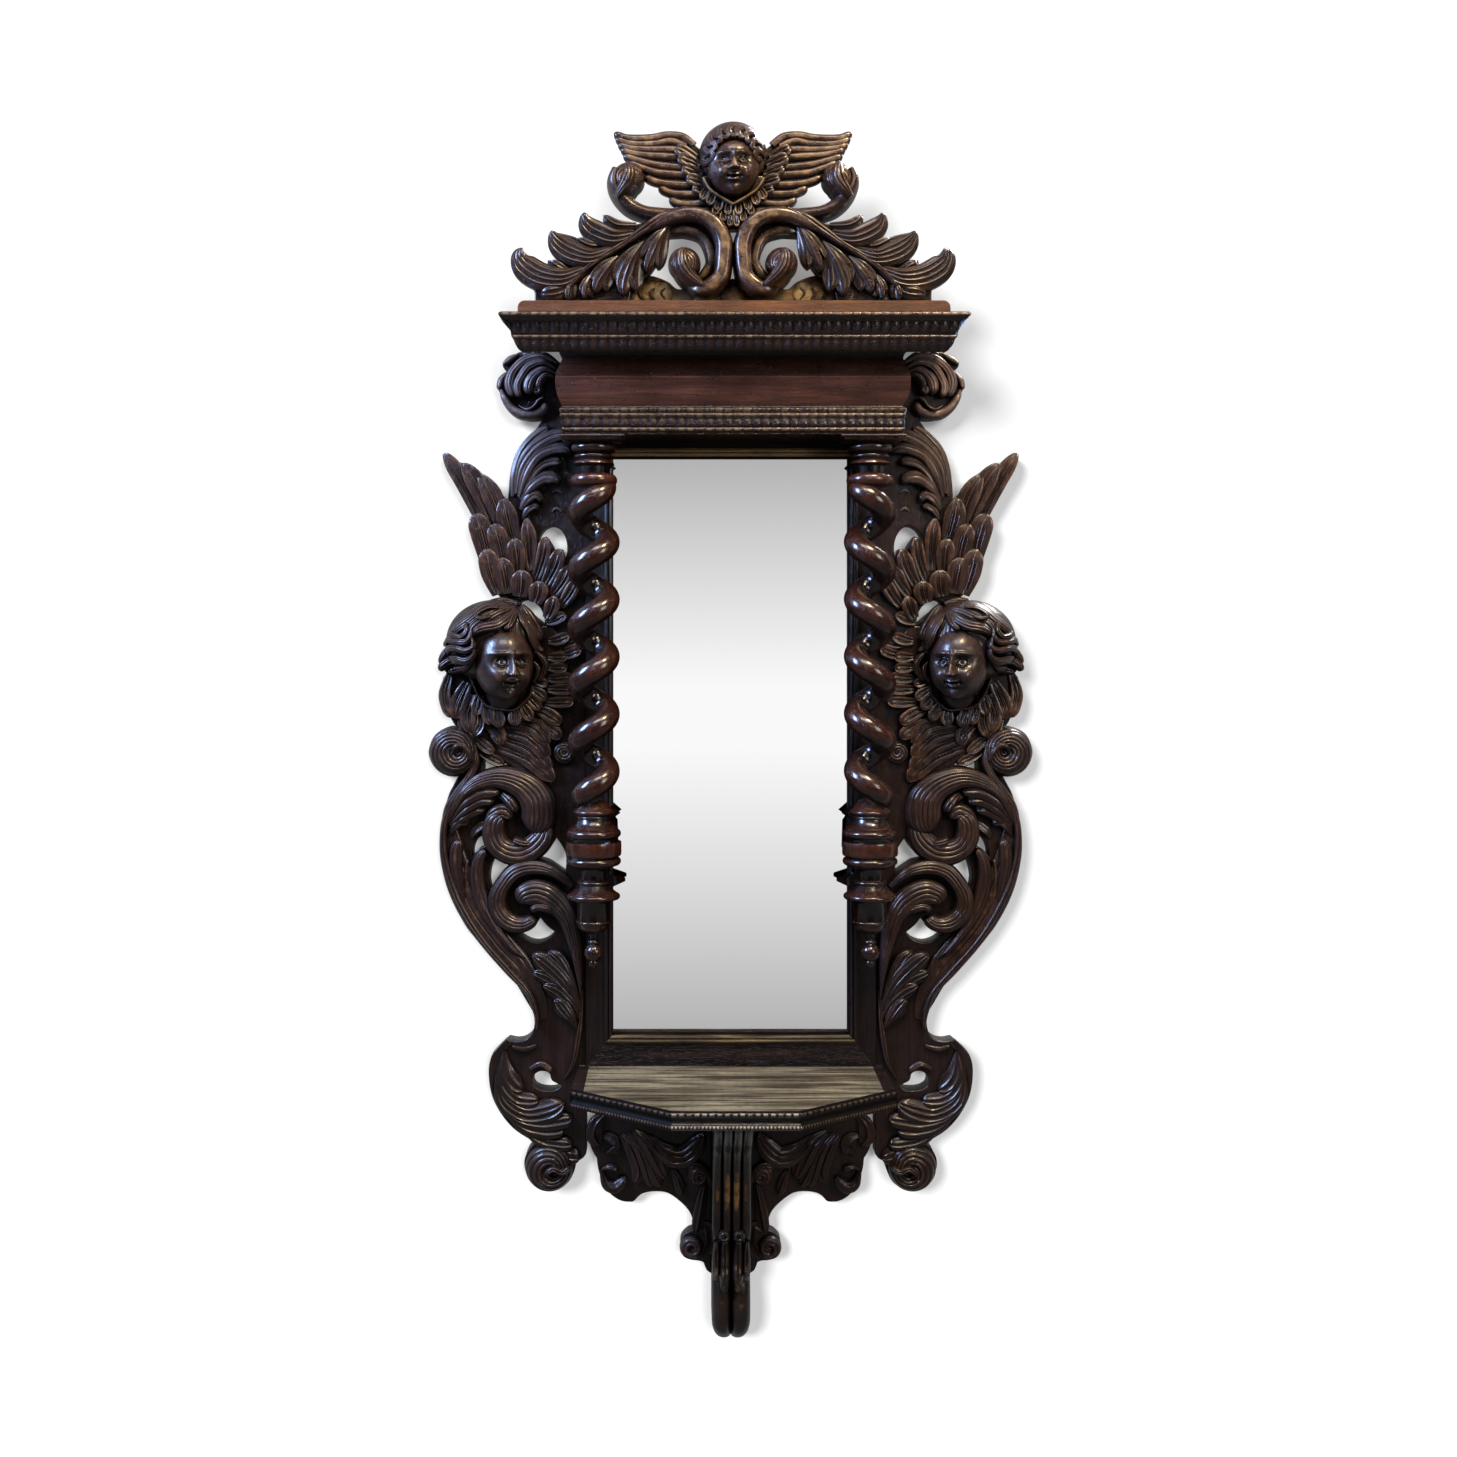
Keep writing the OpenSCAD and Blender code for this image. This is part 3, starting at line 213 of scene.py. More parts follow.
def band(work, path, base=None, reeds=0, groove=0.34, square=3.2, tilt=0.0, lines=(), rim=0.0,
         gap=2.0, foot=3.0, tip=0.0, shade=0.0, flutes=0, quill=0.0):
    """A carved band along a path of (across, up, half width, height), which stands on its base, a
    height or a function. Reeds or flutes run along it, and groove is their depth. Lines are fine
    cuts at places across it, quill is the height of a rib in its middle and rim of one at its
    edges. A large square flattens its top, tilt lifts one side, foot is how far it goes down into
    the base, and tip is how far back its round end starts, in half widths. Shade is added to how
    rubbed it is, and below zero it makes the band dark, as painted shade."""
    base = BOARD if base is None else base
    q, flow = paced(smooth_line(path, 0.7), gap, tip)
    run = np.gradient(q[:, :2], axis=0)
    run /= np.maximum(np.linalg.norm(run, axis=1, keepdims=True), 1e-6)
    side = np.stack([-run[:, 1], run[:, 0]], 1)
    count = reeds or flutes
    s = across(max(q[:, 2].max(), 1), count, (*lines, 0) if quill else lines)
    half, tall = q[:, 2:3], q[:, 3:4]
    crown = (1 - np.abs(s) ** square) ** (1 / square)
    cut = np.zeros((len(q), len(s)))
    depth = groove * 2 * half / count if count else QUILL_DEPTH
    if count:
        cut += depth * (reeded if reeds else fluted)(s / REEDED, count) * (np.abs(s) < REEDED)
    for place in lines:
        # A cut deepens from the root and runs out before the tip.
        fade = np.clip(6 * flow, 0, 1) * np.clip(5 * (0.84 - flow), 0, 1)
        cut -= QUILL_DEPTH * fade * np.exp(-(((s - place) * half) / QUILL) ** 2)
    # So does the quill, and a rim stands 1.4 mm inside the edge.
    cut += quill * np.clip(5 * (0.9 - flow), 0, 1) * np.exp(-((s * half) / 0.9) ** 2)
    lift = rim * np.exp(-(((1 - np.abs(s)) * half - 1.4) / 1.0) ** 2) * np.minimum(1, tall / 6)
    rise = np.maximum(tall * crown * (1 + tilt * s) + (cut + lift) * np.minimum(crown * 1.5, 1), 0)
    u = q[:, 0:1] + side[:, 0:1] * half * s
    z = q[:, 1:2] + side[:, 1:2] * half * s
    ground = base(u, z) if callable(base) else np.full(u.shape, float(base))
    top = np.stack([u, -(ground + rise), z], -1)
    low = top[:, ::-1][:, [0, -1]].copy()
    low[..., 1] = -(ground[:, ::-1][:, [0, -1]] - foot)
    # Where it is cut in it is darker, as painted shade, and where it stands high and in its middle it is
    # rubbed lighter.
    worn_and_shaded = np.clip(1 + cut / np.maximum(depth, 0.6), 0, 1.3) * (0.25 + 0.6 * crown**2)
    if flutes:
        worn_and_shaded = 0.3 + 0.6 * worn_and_shaded**2
    worn_and_shaded = worn_and_shaded * np.clip(0.4 + 0.6 * rise / np.maximum(rise.max(), 1), 0, 1) + shade + 0.5 * lift
    work.tube(np.concatenate([top, low], 1), np.concatenate([worn_and_shaded, np.zeros((len(q), 2))], 1))


def leaf(reeds, root, height, *points):
    """A leaf of a carving, as its path and its reeds: points of (across, up, half width) that rise
    from the height of its root to its full height; a point may bring a height of its own."""
    path = [spot if len(spot) == 4 else (*spot, height if i else root) for i, spot in enumerate(points)]
    return path, reeds


def lobes(work, rows, base=None, tip=1.1, square=2.6, groove=0.3, gap=2.0):
    """Reeded leaf lobes with round tips, from rows of (path, reeds)."""
    for path, reeds in rows:
        band(work, path, base, reeds=reeds, tip=tip, square=square, groove=groove, gap=gap)


def leaves(work, rows, base=None, tip=1.8, groove=0.3):
    """Flatter leaf lobes hollowed into flutes, with pointed tips, from rows of (path, flutes)."""
    for path, flutes in rows:
        band(work, path, base, flutes=flutes, tip=tip, square=4.4, groove=groove, tilt=0.22)


def fanned(rows, angle, slim):
    """Each leaf as three lobes that part toward their tips, the middle one longest and on top."""
    fan = []
    for path, reeds in rows:
        root = np.array(path[0][:2])
        for k in (-1, 1, 0):
            turn = math.radians(k * angle)
            size = 1 - 0.14 * abs(k)
            low = 1 - 0.2 * abs(k)
            spread = []
            for u, z, half, height in path:
                x, y = u - root[0], z - root[1]
                spread.append((root[0] + size * (x * math.cos(turn) - y * math.sin(turn)),
                               root[1] + size * (x * math.sin(turn) + y * math.cos(turn)),
                               half * slim, height * low))
            fan.append((spread, reeds))
    return fan


def plumage(work, rows, base, lean=5.0, point=1.7, rim=1.1, shade=0.0):
    """Feathers laid over each other, each with a raised rim and a quill between fine cuts, from
    rows of (root, middle and tip, half width, level above the base). Lean is how far the tips
    stand out, and point is how far back each narrows to its tip."""
    for points, half, level in rows:
        path = [(*spot, half * wide, 2.5 + lean * out)
                for spot, wide, out in zip(points, (0.62, 1.0, 0.92), (0, 0.6, 1))]
        band(work, path, base + level, lines=(-0.3, -0.12, 0.12, 0.3), quill=1.0, rim=rim, square=6,
             foot=4, tip=point, shade=shade)


def snail(work, centre, radius, eye, base, height, reeds, wind=1.0, start=0.0, groove=0.4, dish=0.2):
    """A round volute, swollen like a ball, whose reeds wind from its rim into the hollow of its eye."""
    sides = 72
    eye_radius = 0.1 * radius
    rim = [0.965, 0.985, 0.996, 1]
    t = np.concatenate([np.linspace(0, 0.94, reeds * 8 + 1), rim])[:, None]
    angle = np.linspace(0, 2 * np.pi, sides + 1)[:-1][None]
    spread = eye_radius + (radius - eye_radius) * t
    x = eye[0] + (centre[0] - eye[0]) * t + spread * np.cos(angle)
    z = eye[1] + (centre[1] - eye[1]) * t + spread * np.sin(angle)
    turn = wind * (angle - math.radians(start)) / (2 * np.pi)
    phase = (reeds * t + turn) % 1 * 2 - 1
    crown = (1 - t**2.5) ** (1 / 2.5)
    depth = groove * (radius - eye_radius) / reeds
    cut = depth * (np.sqrt(np.clip(1 - phase * phase, 0, 1)) - 1)
    rise = height * crown * (1 - dish * np.exp(-(t / 0.3) ** 2)) + cut * np.minimum(crown * 1.4, 1)
    rings = np.stack([x, -(base + np.maximum(rise, 0)), z], -1)
    low = rings[-1:].copy()
    low[..., 1] = -(base - 3.0)
    worn_and_shaded = np.clip(1 + cut / depth, 0, 1) * (0.2 + 0.75 * crown**2)
    # Painted shade: the hollow of the eye is darkened.
    worn_and_shaded = worn_and_shaded * (1 - 0.8 * np.exp(-(t / 0.22) ** 2))
    work.tube(np.concatenate([rings, low]), np.concatenate([worn_and_shaded, np.zeros((1, sides))]))


def ball(work, centre, radii, rub_and_painted_light):
    """An ellipsoid."""
    lat = np.linspace(-np.pi / 2 + 0.05, np.pi / 2 - 0.05, 17)[:, None]
    lon = np.linspace(0, 2 * np.pi, 33)[:-1][None]
    rings = np.stack([centre[0] + radii[0] * np.cos(lat) * np.cos(lon),
                      centre[1] + radii[1] * np.sin(lat) + 0 * lon,
                      centre[2] + radii[2] * np.cos(lat) * np.sin(lon)], -1)
    work.tube(rings, np.full(rings.shape[:2], rub_and_painted_light))


def pierced(work, outline, back, front, rub_and_painted_light=0.35, holes=()):
    """A sawn board between two depths, with a rounded edge, and holes through it."""
    curve = bpy.data.curves.new("outline", "CURVE")
    curve.dimensions = "2D"
    curve.fill_mode = "BOTH"
    curve.extrude = (front - back) / 2 - BOARD_EDGE
    curve.bevel_depth = BOARD_EDGE
    curve.bevel_resolution = 2
    curve.offset = -BOARD_EDGE
    for line in [outline, *holes]:
        spline = curve.splines.new("POLY")
        spline.points.add(len(line) - 1)
        flat = np.concatenate([np.array(line)[:, :2], np.tile([0.0, 1.0], (len(line), 1))], 1)
        spline.points.foreach_set("co", flat.ravel())
        spline.use_cyclic_u = True
    holder = bpy.data.objects.new("outline", curve)
    bpy.context.scene.collection.objects.link(holder)
    mesh = holder.evaluated_get(bpy.context.evaluated_depsgraph_get()).to_mesh()
    co = np.array([v.co for v in mesh.vertices])
    points = np.stack([co[:, 0], -((front + back) / 2 + co[:, 2]), co[:, 1]], 1)
    corners = [list(p.vertices) for p in mesh.polygons]
    faces = [np.array([c for c in corners if len(c) == k]) for k in sorted({len(c) for c in corners})]
    work.add(points, faces, np.full(len(points), rub_and_painted_light))
    bpy.data.objects.remove(holder)
    bpy.data.curves.remove(curve)


def turned(work, x, y, profile):
    """A turning about an upright axis, from (radius, height) points listed downward; what stands
    out from its neighbours is rubbed, and what is sunk between them is darker, as painted shade."""
    p = np.array([(max(r, 0.2), z) for r, z in profile], float)
    a = np.linspace(0, 2 * np.pi, TURNED_SIDES + 1)[:-1][None]
    rings = np.stack([x + p[:, 0:1] * np.cos(a), -y + p[:, 0:1] * np.sin(a), p[:, 1:2] + 0 * a], -1)
    around = np.convolve(np.pad(p[:, 0], 3, mode="edge"), np.full(7, 1 / 7), "valid")
    worn_and_shaded = np.clip(0.42 + (p[:, 0] - around) / 4, 0.05, 1)
    work.tube(rings, worn_and_shaded[:, None] + 0 * a)


def block(work, low, high, rub_and_painted_light):
    """A rectangular block with softened edges."""
    soft = 0.8
    low, high = np.array(low, float), np.array(high, float)
    mid, size = (low + high) / 2, (high - low) / 2

    def ring(inset, z):
        sx, sy = size[0] - inset, size[1] - inset
        return [(mid[0] + a * sx, mid[1] + b * sy, z) for a, b in ((-1, -1), (1, -1), (1, 1), (-1, 1))]

    rings = np.array([ring(soft, low[2]), ring(0, low[2] + soft), ring(0, high[2] - soft),
                      ring(soft, high[2])])
    work.tube(rings, np.full(rings.shape[:2], rub_and_painted_light))


def piece(name, work, material, slot, *nodes, left=False, sharp=48):
    """Makes the mesh of a carving, in metres, and puts it in the place of its CAD nodes."""
    points = np.concatenate(work.points) / MM
    faces = work.faces
    if left:
        points = points * np.array([-1, 1, 1])
        faces = [group[:, ::-1] for group in faces]
    loops = np.concatenate([group.ravel() for group in faces])
    counts = np.concatenate([np.full(len(group), group.shape[1]) for group in faces])
    mesh = bpy.data.meshes.new(name)
    mesh.vertices.add(len(points))
    mesh.vertices.foreach_set("co", points.ravel())
    mesh.loops.add(len(loops))
    mesh.loops.foreach_set("vertex_index", loops.astype(np.int32))
    mesh.polygons.add(len(counts))
    mesh.polygons.foreach_set("loop_start", (np.cumsum(counts) - counts).astype(np.int32))
    mesh.polygons.foreach_set("loop_total", counts.astype(np.int32))
    mesh.polygons.foreach_set("use_smooth", np.ones(len(counts), bool))
    mesh.update(calc_edges=True)
    mesh.validate()
    mesh.set_sharp_from_angle(angle=math.radians(sharp))
    rub_and_painted_light = mesh.attributes.new("rub_and_painted_light", "FLOAT", "POINT")
    rub_and_painted_light.data.foreach_set("value", np.clip(np.concatenate(work.rub_and_painted_light), 0, 1).astype(np.float32))
    mesh.materials.append(material)
    made = bpy.data.objects.new(name, mesh)
    bpy.context.scene.collection.objects.link(made)
    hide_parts(*nodes)
    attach(made, "root")
    return made


def pair(node, work, material, slot):
    """The right piece and its mirror image on the left."""
    for hand in ("right", "left"):
        piece(f"{hand}_{node}_carved", work, material, slot, f"{hand}_{node}", left=hand == "left")


# Finishes


def linear(code):
    """An sRGB hex colour as linear red, green, blue and alpha."""
    parts = [int(code[i:i + 2], 16) / 255 for i in (1, 3, 5)]
    return tuple(c / 12.92 if c < 0.04045 else ((c + 0.055) / 1.055) ** 2.4 for c in parts) + (1.0,)


def add(tree, kind, inputs=(), **settings):
    """Adds a shader node with its settings; inputs are values or sockets to link."""
    made = tree.nodes.new("ShaderNode" + kind)
    for name, value in settings.items():
        setattr(made, name, value)
    for key, value in dict(inputs).items():
        if isinstance(value, bpy.types.NodeSocket):
            tree.links.new(value, made.inputs[key])
        else:
            made.inputs[key].default_value = value
    return made


def new_material(name):
    """A node material and its tree."""
    material = bpy.data.materials.new(name)
    material.use_nodes = True
    return material, material.node_tree


def glaze(tree, colour, amount, pattern, span, deep, pale=(1, 1, 1)):
    """Multiplies a colour by a tint, deep below the span of a pattern's values and pale above it."""
    where = add(tree, "MapRange", {"Value": pattern, "From Min": span[0], "From Max": span[1]},
                interpolation_type="SMOOTHSTEP")
    tint = add(tree, "Mix", {"Factor": where.outputs[0], 6: (*deep, 1), 7: (*pale, 1)}, data_type="RGBA")
    over = add(tree, "Mix", {"Factor": amount, 6: colour, 7: tint.outputs[2]},
               data_type="RGBA", blend_type="MULTIPLY")
    return over.outputs[2]


def oak_patterns(tree, place, along):
    """What varies over a piece of oak, each at its real size in millimetres."""

    def noise(size, detail, length=None, **more):
        where, scale = place, MM / size
        if length:
            stretch = [scale] * 3
            stretch["xyz".index(along)] = MM / length
            where, scale = add(tree, "Mapping", {"Vector": place, "Scale": stretch}).outputs[0], 1
        inputs = {"Vector": where, "Scale": scale, "Detail": detail, **more}
        return add(tree, "TexNoise", inputs).outputs["Fac"]

    # Fibres about 1.4 mm wide, drawn coarser than oak's 0.3 mm so that they show.
    fibres = noise(1.4, 5, 45, Roughness=0.65)
    # Growth rings about 9 mm apart in the planed face.
    rings = noise(9, 3, 160, Distortion=0.8)
    # Pores about 0.8 mm wide and 9 mm long.
    pores = noise(0.8, 2, 9)
    # Uneven stain over about 60 mm, and knocks and worn places over about 12 mm.
    cloud = noise(60, 3)
    knocks = noise(12, 4, Roughness=0.6)
    return fibres, rings, pores, cloud, knocks


def rubbed_and_shaded_carving(tree, colour, height, knocks, rubbed, wear):
    """Grooves darkened nearly to black, as painted shade with old wax in them, and ridges rubbed to bare warm
    wood, broken by knocks.
    """
    rub_and_painted_light = add(tree, "Attribute", attribute_name="rub_and_painted_light").outputs["Fac"]
    broken = add(tree, "Math", {0: knocks, 1: 0.9, 2: -0.45}, operation="MULTIPLY_ADD").outputs[0]
    worn_and_shaded = add(tree, "Math", {0: rub_and_painted_light, 1: broken}, operation="ADD").outputs[0]
    bare = add(tree, "MapRange", {"Value": worn_and_shaded, "From Min": 0.72, "From Max": 1.12},
               interpolation_type="SMOOTHSTEP").outputs[0]
    ridge = add(tree, "Math", {0: bare, 1: wear}, operation="MULTIPLY").outputs[0]
    colour = add(tree, "Mix", {"Factor": ridge, 6: colour, 7: linear(rubbed)}, data_type="RGBA").outputs[2]
    # Painted shade: where the carving lies low the colour is darkened toward black, and its raised parts are
    # made a little paler.
    colour = glaze(tree, colour, 0.85, rub_and_painted_light, (0.02, 0.5), (0.22, 0.2, 0.2), (1.1, 1.08, 1.06))
    height = add(tree, "Math", {0: knocks, 1: 1.6, 2: height}, operation="MULTIPLY_ADD").outputs[0]
    return colour, height


def painted_arris_light(tree, colour, place, arris):
    """A painted highlight along one long edge, and a painted shadow of the cornice on the slope above it."""
    up = add(tree, "SeparateXYZ", {0: place}).outputs["Z"]
    for low, high, tone in ((-2.5, -1, 1.7), (-0.6, -0.1, 0.22)):
        above = add(tree, "MapRange", {"Value": up, "From Min": (arris + low) / MM,
                                       "From Max": (arris + high) / MM}, interpolation_type="SMOOTHSTEP")
        colour = add(tree, "Mix", {"Factor": above.outputs[0], 6: colour, 7: (tone, tone, tone, 1)},
                     data_type="RGBA", blend_type="MULTIPLY").outputs[2]
    return colour


def wood(name, stain, dark, rubbed, along, rough, coat, carved=True, figure=0.6, pores=0.7, wear=0.5,
         arris=None):
    """Oak: open pores and long fibres along its grain, broad growth rings and a stained, waxed
    surface. Figure and pores say how much of them shows, and wear how bare carved ridges are."""
    material, tree = new_material(name)
    shader = tree.nodes["Principled BSDF"]
    place = add(tree, "TexCoord").outputs["Object"]
    fibres, rings, pore, cloud, knocks = oak_patterns(tree, place, along)
    ring = add(tree, "MapRange", {"Value": rings, "From Min": 0.35, "From Max": 0.68},
               interpolation_type="SMOOTHSTEP").outputs[0]
    grown = add(tree, "Mix", {"Factor": ring, 6: linear(dark), 7: linear(stain)}, data_type="RGBA").outputs[2]
    colour = add(tree, "Mix", {"Factor": figure, 6: linear(stain), 7: grown}, data_type="RGBA").outputs[2]
    colour = glaze(tree, colour, 0.55, fibres, (0.38, 0.66), (0.45, 0.42, 0.4), (1.25, 1.2, 1.15))
    colour = glaze(tree, colour, 0.6, cloud, (0.3, 0.7), (0.6, 0.56, 0.54), (1.35, 1.3, 1.25))
    open_pore = (0.34, 0.44)
    pit = add(tree, "MapRange", {"Value": pore, "From Min": open_pore[0], "From Max": open_pore[1]},
              interpolation_type="SMOOTHSTEP").outputs[0]
    height = add(tree, "Math", {0: fibres, 1: 0.35, 2: pit}, operation="MULTIPLY_ADD").outputs[0]
    if carved:
        colour, height = rubbed_and_shaded_carving(tree, colour, height, knocks, rubbed, wear)
    colour = glaze(tree, colour, pores, pore, open_pore, (0.42, 0.38, 0.36))
    if arris:
        colour = painted_arris_light(tree, colour, place, arris)
    # Painted shade: ambient occlusion darkens the hollows nearly to black, standing for the shade there
    # together with old wax and dust.
    hollow = add(tree, "AmbientOcclusion", {"Distance": 0.016}, samples=4).outputs["AO"]
    colour = glaze(tree, colour, 1.0, hollow, (0.25, 0.85), (0.1, 0.09, 0.09))
    # Knocks make the gloss uneven by this much.
    uneven = 0.22
    gloss = add(tree, "Math", {0: knocks, 1: uneven, 2: rough - uneven / 2}, operation="MULTIPLY_ADD")
    bump = add(tree, "Bump", {"Height": height, "Strength": 0.5, "Distance": 0.0004})
    tree.links.new(colour, shader.inputs["Base Color"])
    tree.links.new(gloss.outputs[0], shader.inputs["Roughness"])
    tree.links.new(bump.outputs[0], shader.inputs["Normal"])
    shader.inputs["IOR"].default_value = 1.5
    if not coat:
        # Dry unwaxed wood hardly shines.
        shader.inputs["Specular IOR Level"].default_value = 0.15
    shader.inputs["Coat Weight"].default_value = coat
    shader.inputs["Coat Roughness"].default_value = 0.16
    return material


def plain(name, colour, metallic, rough, size_mm=3, uneven=0.1):
    """Glass, steel or iron: one colour with a fine unevenness in its gloss."""
    material, tree = new_material(name)
    shader = tree.nodes["Principled BSDF"]
    shader.inputs["Metallic"].default_value = metallic
    place = add(tree, "TexCoord").outputs["Object"]
    noise = add(tree, "TexNoise", {"Vector": place, "Scale": MM / size_mm, "Detail": 3}).outputs["Fac"]
    base = linear(colour)
    dimmer = (*(c * (1 - uneven) for c in base[:3]), 1.0)
    tint = add(tree, "Mix", {"Factor": noise, 6: base, 7: dimmer}, data_type="RGBA")
    gloss = add(tree, "Math", {0: noise, 1: uneven * 0.5, 2: rough}, operation="MULTIPLY_ADD")
    tree.links.new(tint.outputs[2], shader.inputs["Base Color"])
    tree.links.new(gloss.outputs[0], shader.inputs["Roughness"])
    return material


def colour_property(label, code, words):
    return bpy.props.FloatVectorProperty(name=label, description=words, subtype="COLOR", size=4,
                                         min=0, max=1, default=linear(code))


class MirrorSizes(bpy.types.PropertyGroup):
    """Sizes that a user would change."""

    strand: bpy.props.FloatProperty(name="Strand", description="Radius of the twisted strand",
                                    default=0.0145, unit="LENGTH")
    helix: bpy.props.FloatProperty(name="Twist radius", description="How far the strand runs from its axis",
                                   default=0.0175, unit="LENGTH")
    turns: bpy.props.FloatProperty(name="Turns", description="Turns of the twist", default=5.8)
    ripple: bpy.props.FloatProperty(name="Ripple", description="Spacing of the ripples in the mouldings",
                                    default=0.0113, unit="LENGTH")
    bead: bpy.props.FloatProperty(name="Bead", description="Spacing of the beads round the shelf",
                                  default=0.0086, unit="LENGTH")


class MirrorColours(bpy.types.PropertyGroup):
    """Colours of the stage."""

    wall: colour_property("Wall", "#ffffff", "Colour of the wall and floor")
    window: colour_property("Window light", "#a9c6ff", "Colour of the light from the left")
    lamp: colour_property("Lamp light", "#ffe0b0", "Colour of the light from above")


FINISHES = {}


def finish(name):
    """One of the materials, made when it is first asked for."""
    if name not in FINISHES:
        FINISHES[name] = RECIPES[name]()
    return FINISHES[name]


# Oak is a name, its stain, dark streaks and rubbed wood, way of the grain, roughness and wax coat.
RECIPES = {
    # Planed frame boards: dark stain under dull wax, straight grain.
    "frame_upright": lambda: wood("stained_oak_upright", "#231814", "#120c0a", "#5b3a24", "z", 0.36, 0.2,
                                  carved=False),
    "frame_across": lambda: wood("stained_oak_across", "#34231c", "#120c0a", "#5b3a24", "x", 0.36, 0.2,
                                 carved=False, figure=1.0, pores=0.9),
    # Carved boards: nearly black hollows, rubbed brown ridges, waxed.
    "carved": lambda: wood("carved_waxed_oak", "#3c2a25", "#231813", "#80583e", "z", 0.34, 0.3, wear=0.55),
    # Leaf scrolls under the cornice: the same wax, painted paler and greyer as painted light from the window.
    "ear": lambda: wood("grey_window_lit_painted_oak", "#6f5f5d", "#403433", "#a8948c", "z", 0.38, 0.3, wear=0.6),
    # The crest is rubbed to a warm gold brown, and painted paler as the stronger light high up.
    "crest": lambda: wood("carved_rubbed_oak_painted_light", "#3d271f", "#231611", "#a98a60", "x", 0.3, 0.4, wear=0.65),
    # Rockwork behind the crest: painted a pale gold, as painted light where the scrolls shade it.
    "ground": lambda: wood("pale_gold_painted_light_oak", "#7b6a50", "#4f402e", "#c0a87c", "x", 0.5, 0.0, wear=0.8),
    # Aprons and bracket in the shelf's shadow: dark carved work, its bracket rubbed bright by hands.
    "under": lambda: wood("dark_carved_oak", "#553c32", "#33221a", "#7a5a48", "z", 0.38, 0.15),
    "bracket": lambda: wood("rubbed_bracket_oak", "#3a2920", "#1f1511", "#b0834c", "z", 0.3, 0.25, wear=1.0),
    # Turned columns: polished red brown with a bright gloss.
    "turned": lambda: wood("polished_turned_oak", "#351b14", "#1c0e0a", "#663622", "z", 0.24, 0.7,
                           wear=0.3, pores=0.35),
    # Rippled mouldings: black in the cuts, gold where the beads are rubbed.
    "rippled": lambda: wood("rippled_rubbed_oak", "#402b25", "#241814", "#8f7858", "x", 0.28, 0.35,
                            wear=0.65),
    "rippled_return": lambda: wood("rippled_oak_return", "#402b25", "#241814", "#8f7858", "y", 0.28, 0.35,
                                   wear=0.65),
    # Shelf edge: nearly black, its beads rubbed pale and painted paler still, as their highlights.
    "edge": lambda: wood("dark_beaded_oak", "#2a1c18", "#17100d", "#ab9a80", "x", 0.36, 0.1, wear=0.75),
    # Its canted sides: the edge painted darker, as painted shade on those sides, and dry, so that they hardly
    # shine.
    "edge_side": lambda: wood("dark_beaded_oak_side", "#1a1210", "#100b09", "#5f4d3d", "x", 0.6, 0.0,
                              wear=0.7),
    # Frieze: a polished red brown cushion, with a painted highlight on its arris and a painted shadow above
    # it.
    "frieze": lambda: wood("polished_red_oak", "#7a4b3a", "#43291e", "#8a4a2a", "x", 0.3, 0.4,
                           carved=False, arris=FRIEZE_EDGE),
    # Plinth: the same oak with its stain worn thin.
    "plinth": lambda: wood("thinly_stained_oak", "#6f4524", "#472a14", "#946236", "x", 0.42, 0.1,
                           carved=False),
    # Shelf top: bleached and scrubbed, with open dark grain.
    "shelf": lambda: wood("scrubbed_oak", "#979073", "#4a4133", "#a69b7c", "x", 0.5, 0.0,
                          carved=False, figure=1.0, pores=1.0),
    # Sight moulding: gilded by rubbing.
    "sight": lambda: wood("rubbed_oak_moulding", "#8c7b58", "#41351f", "#b89a66", "x", 0.4, 0.1,
                          carved=False, figure=1.0, pores=1.0),
    # The same under the architrave, painted paler, as painted light in the architrave's shade.
    "pale_sight": lambda: wood("pale_oak_moulding", "#d8b88a", "#8a6e48", "#e0c89c", "x", 0.4, 0.1,
                               carved=False),
    # Unseen backboard of planed pine.
    "pine": lambda: wood("planed_pine", "#b08c5c", "#94703e", "#c8a878", "z", 0.6, 0.0,
                         carved=False, figure=0.8, pores=0.2),
    # Silvered plate glass: a clean mirror, a little softer than chrome.
    "glass": lambda: plain("silvered_plate_glass", "#f6f6f6", 1.0, 0.012, 400, 0.004),
    # Rolled steel plates: grey with a dull shine.
    "steel": lambda: plain("rolled_mild_steel", "#8c8c88", 1.0, 0.38),
    # Waxed iron screws: darker and warmer than the plates.
    "iron": lambda: plain("waxed_iron", "#6e675c", 1.0, 0.45),
}


def dress(material, *nodes):
    """Gives CAD nodes their material as they stand."""
    for name in nodes:
        mesh = frame["nodes"][name].data
        mesh.materials.clear()
        mesh.materials.append(finish(material))


# Mouldings


# Kinds of cut, which are also how steep their waves are, and how rubbed each kind is.
RIPPLE, BEAD = 2, 14
RUBBED = {BEAD: 0.9, RIPPLE: 0.35, 0: 0.15}
# Spacing of the sections along a rippled moulding and along the finer beads of the shelf's edge.
RIPPLE_GAP, BEAD_GAP = 1.25, 0.7
# The shelf edge's beads below this height are twice as fine.
FINE_BEADS = -13
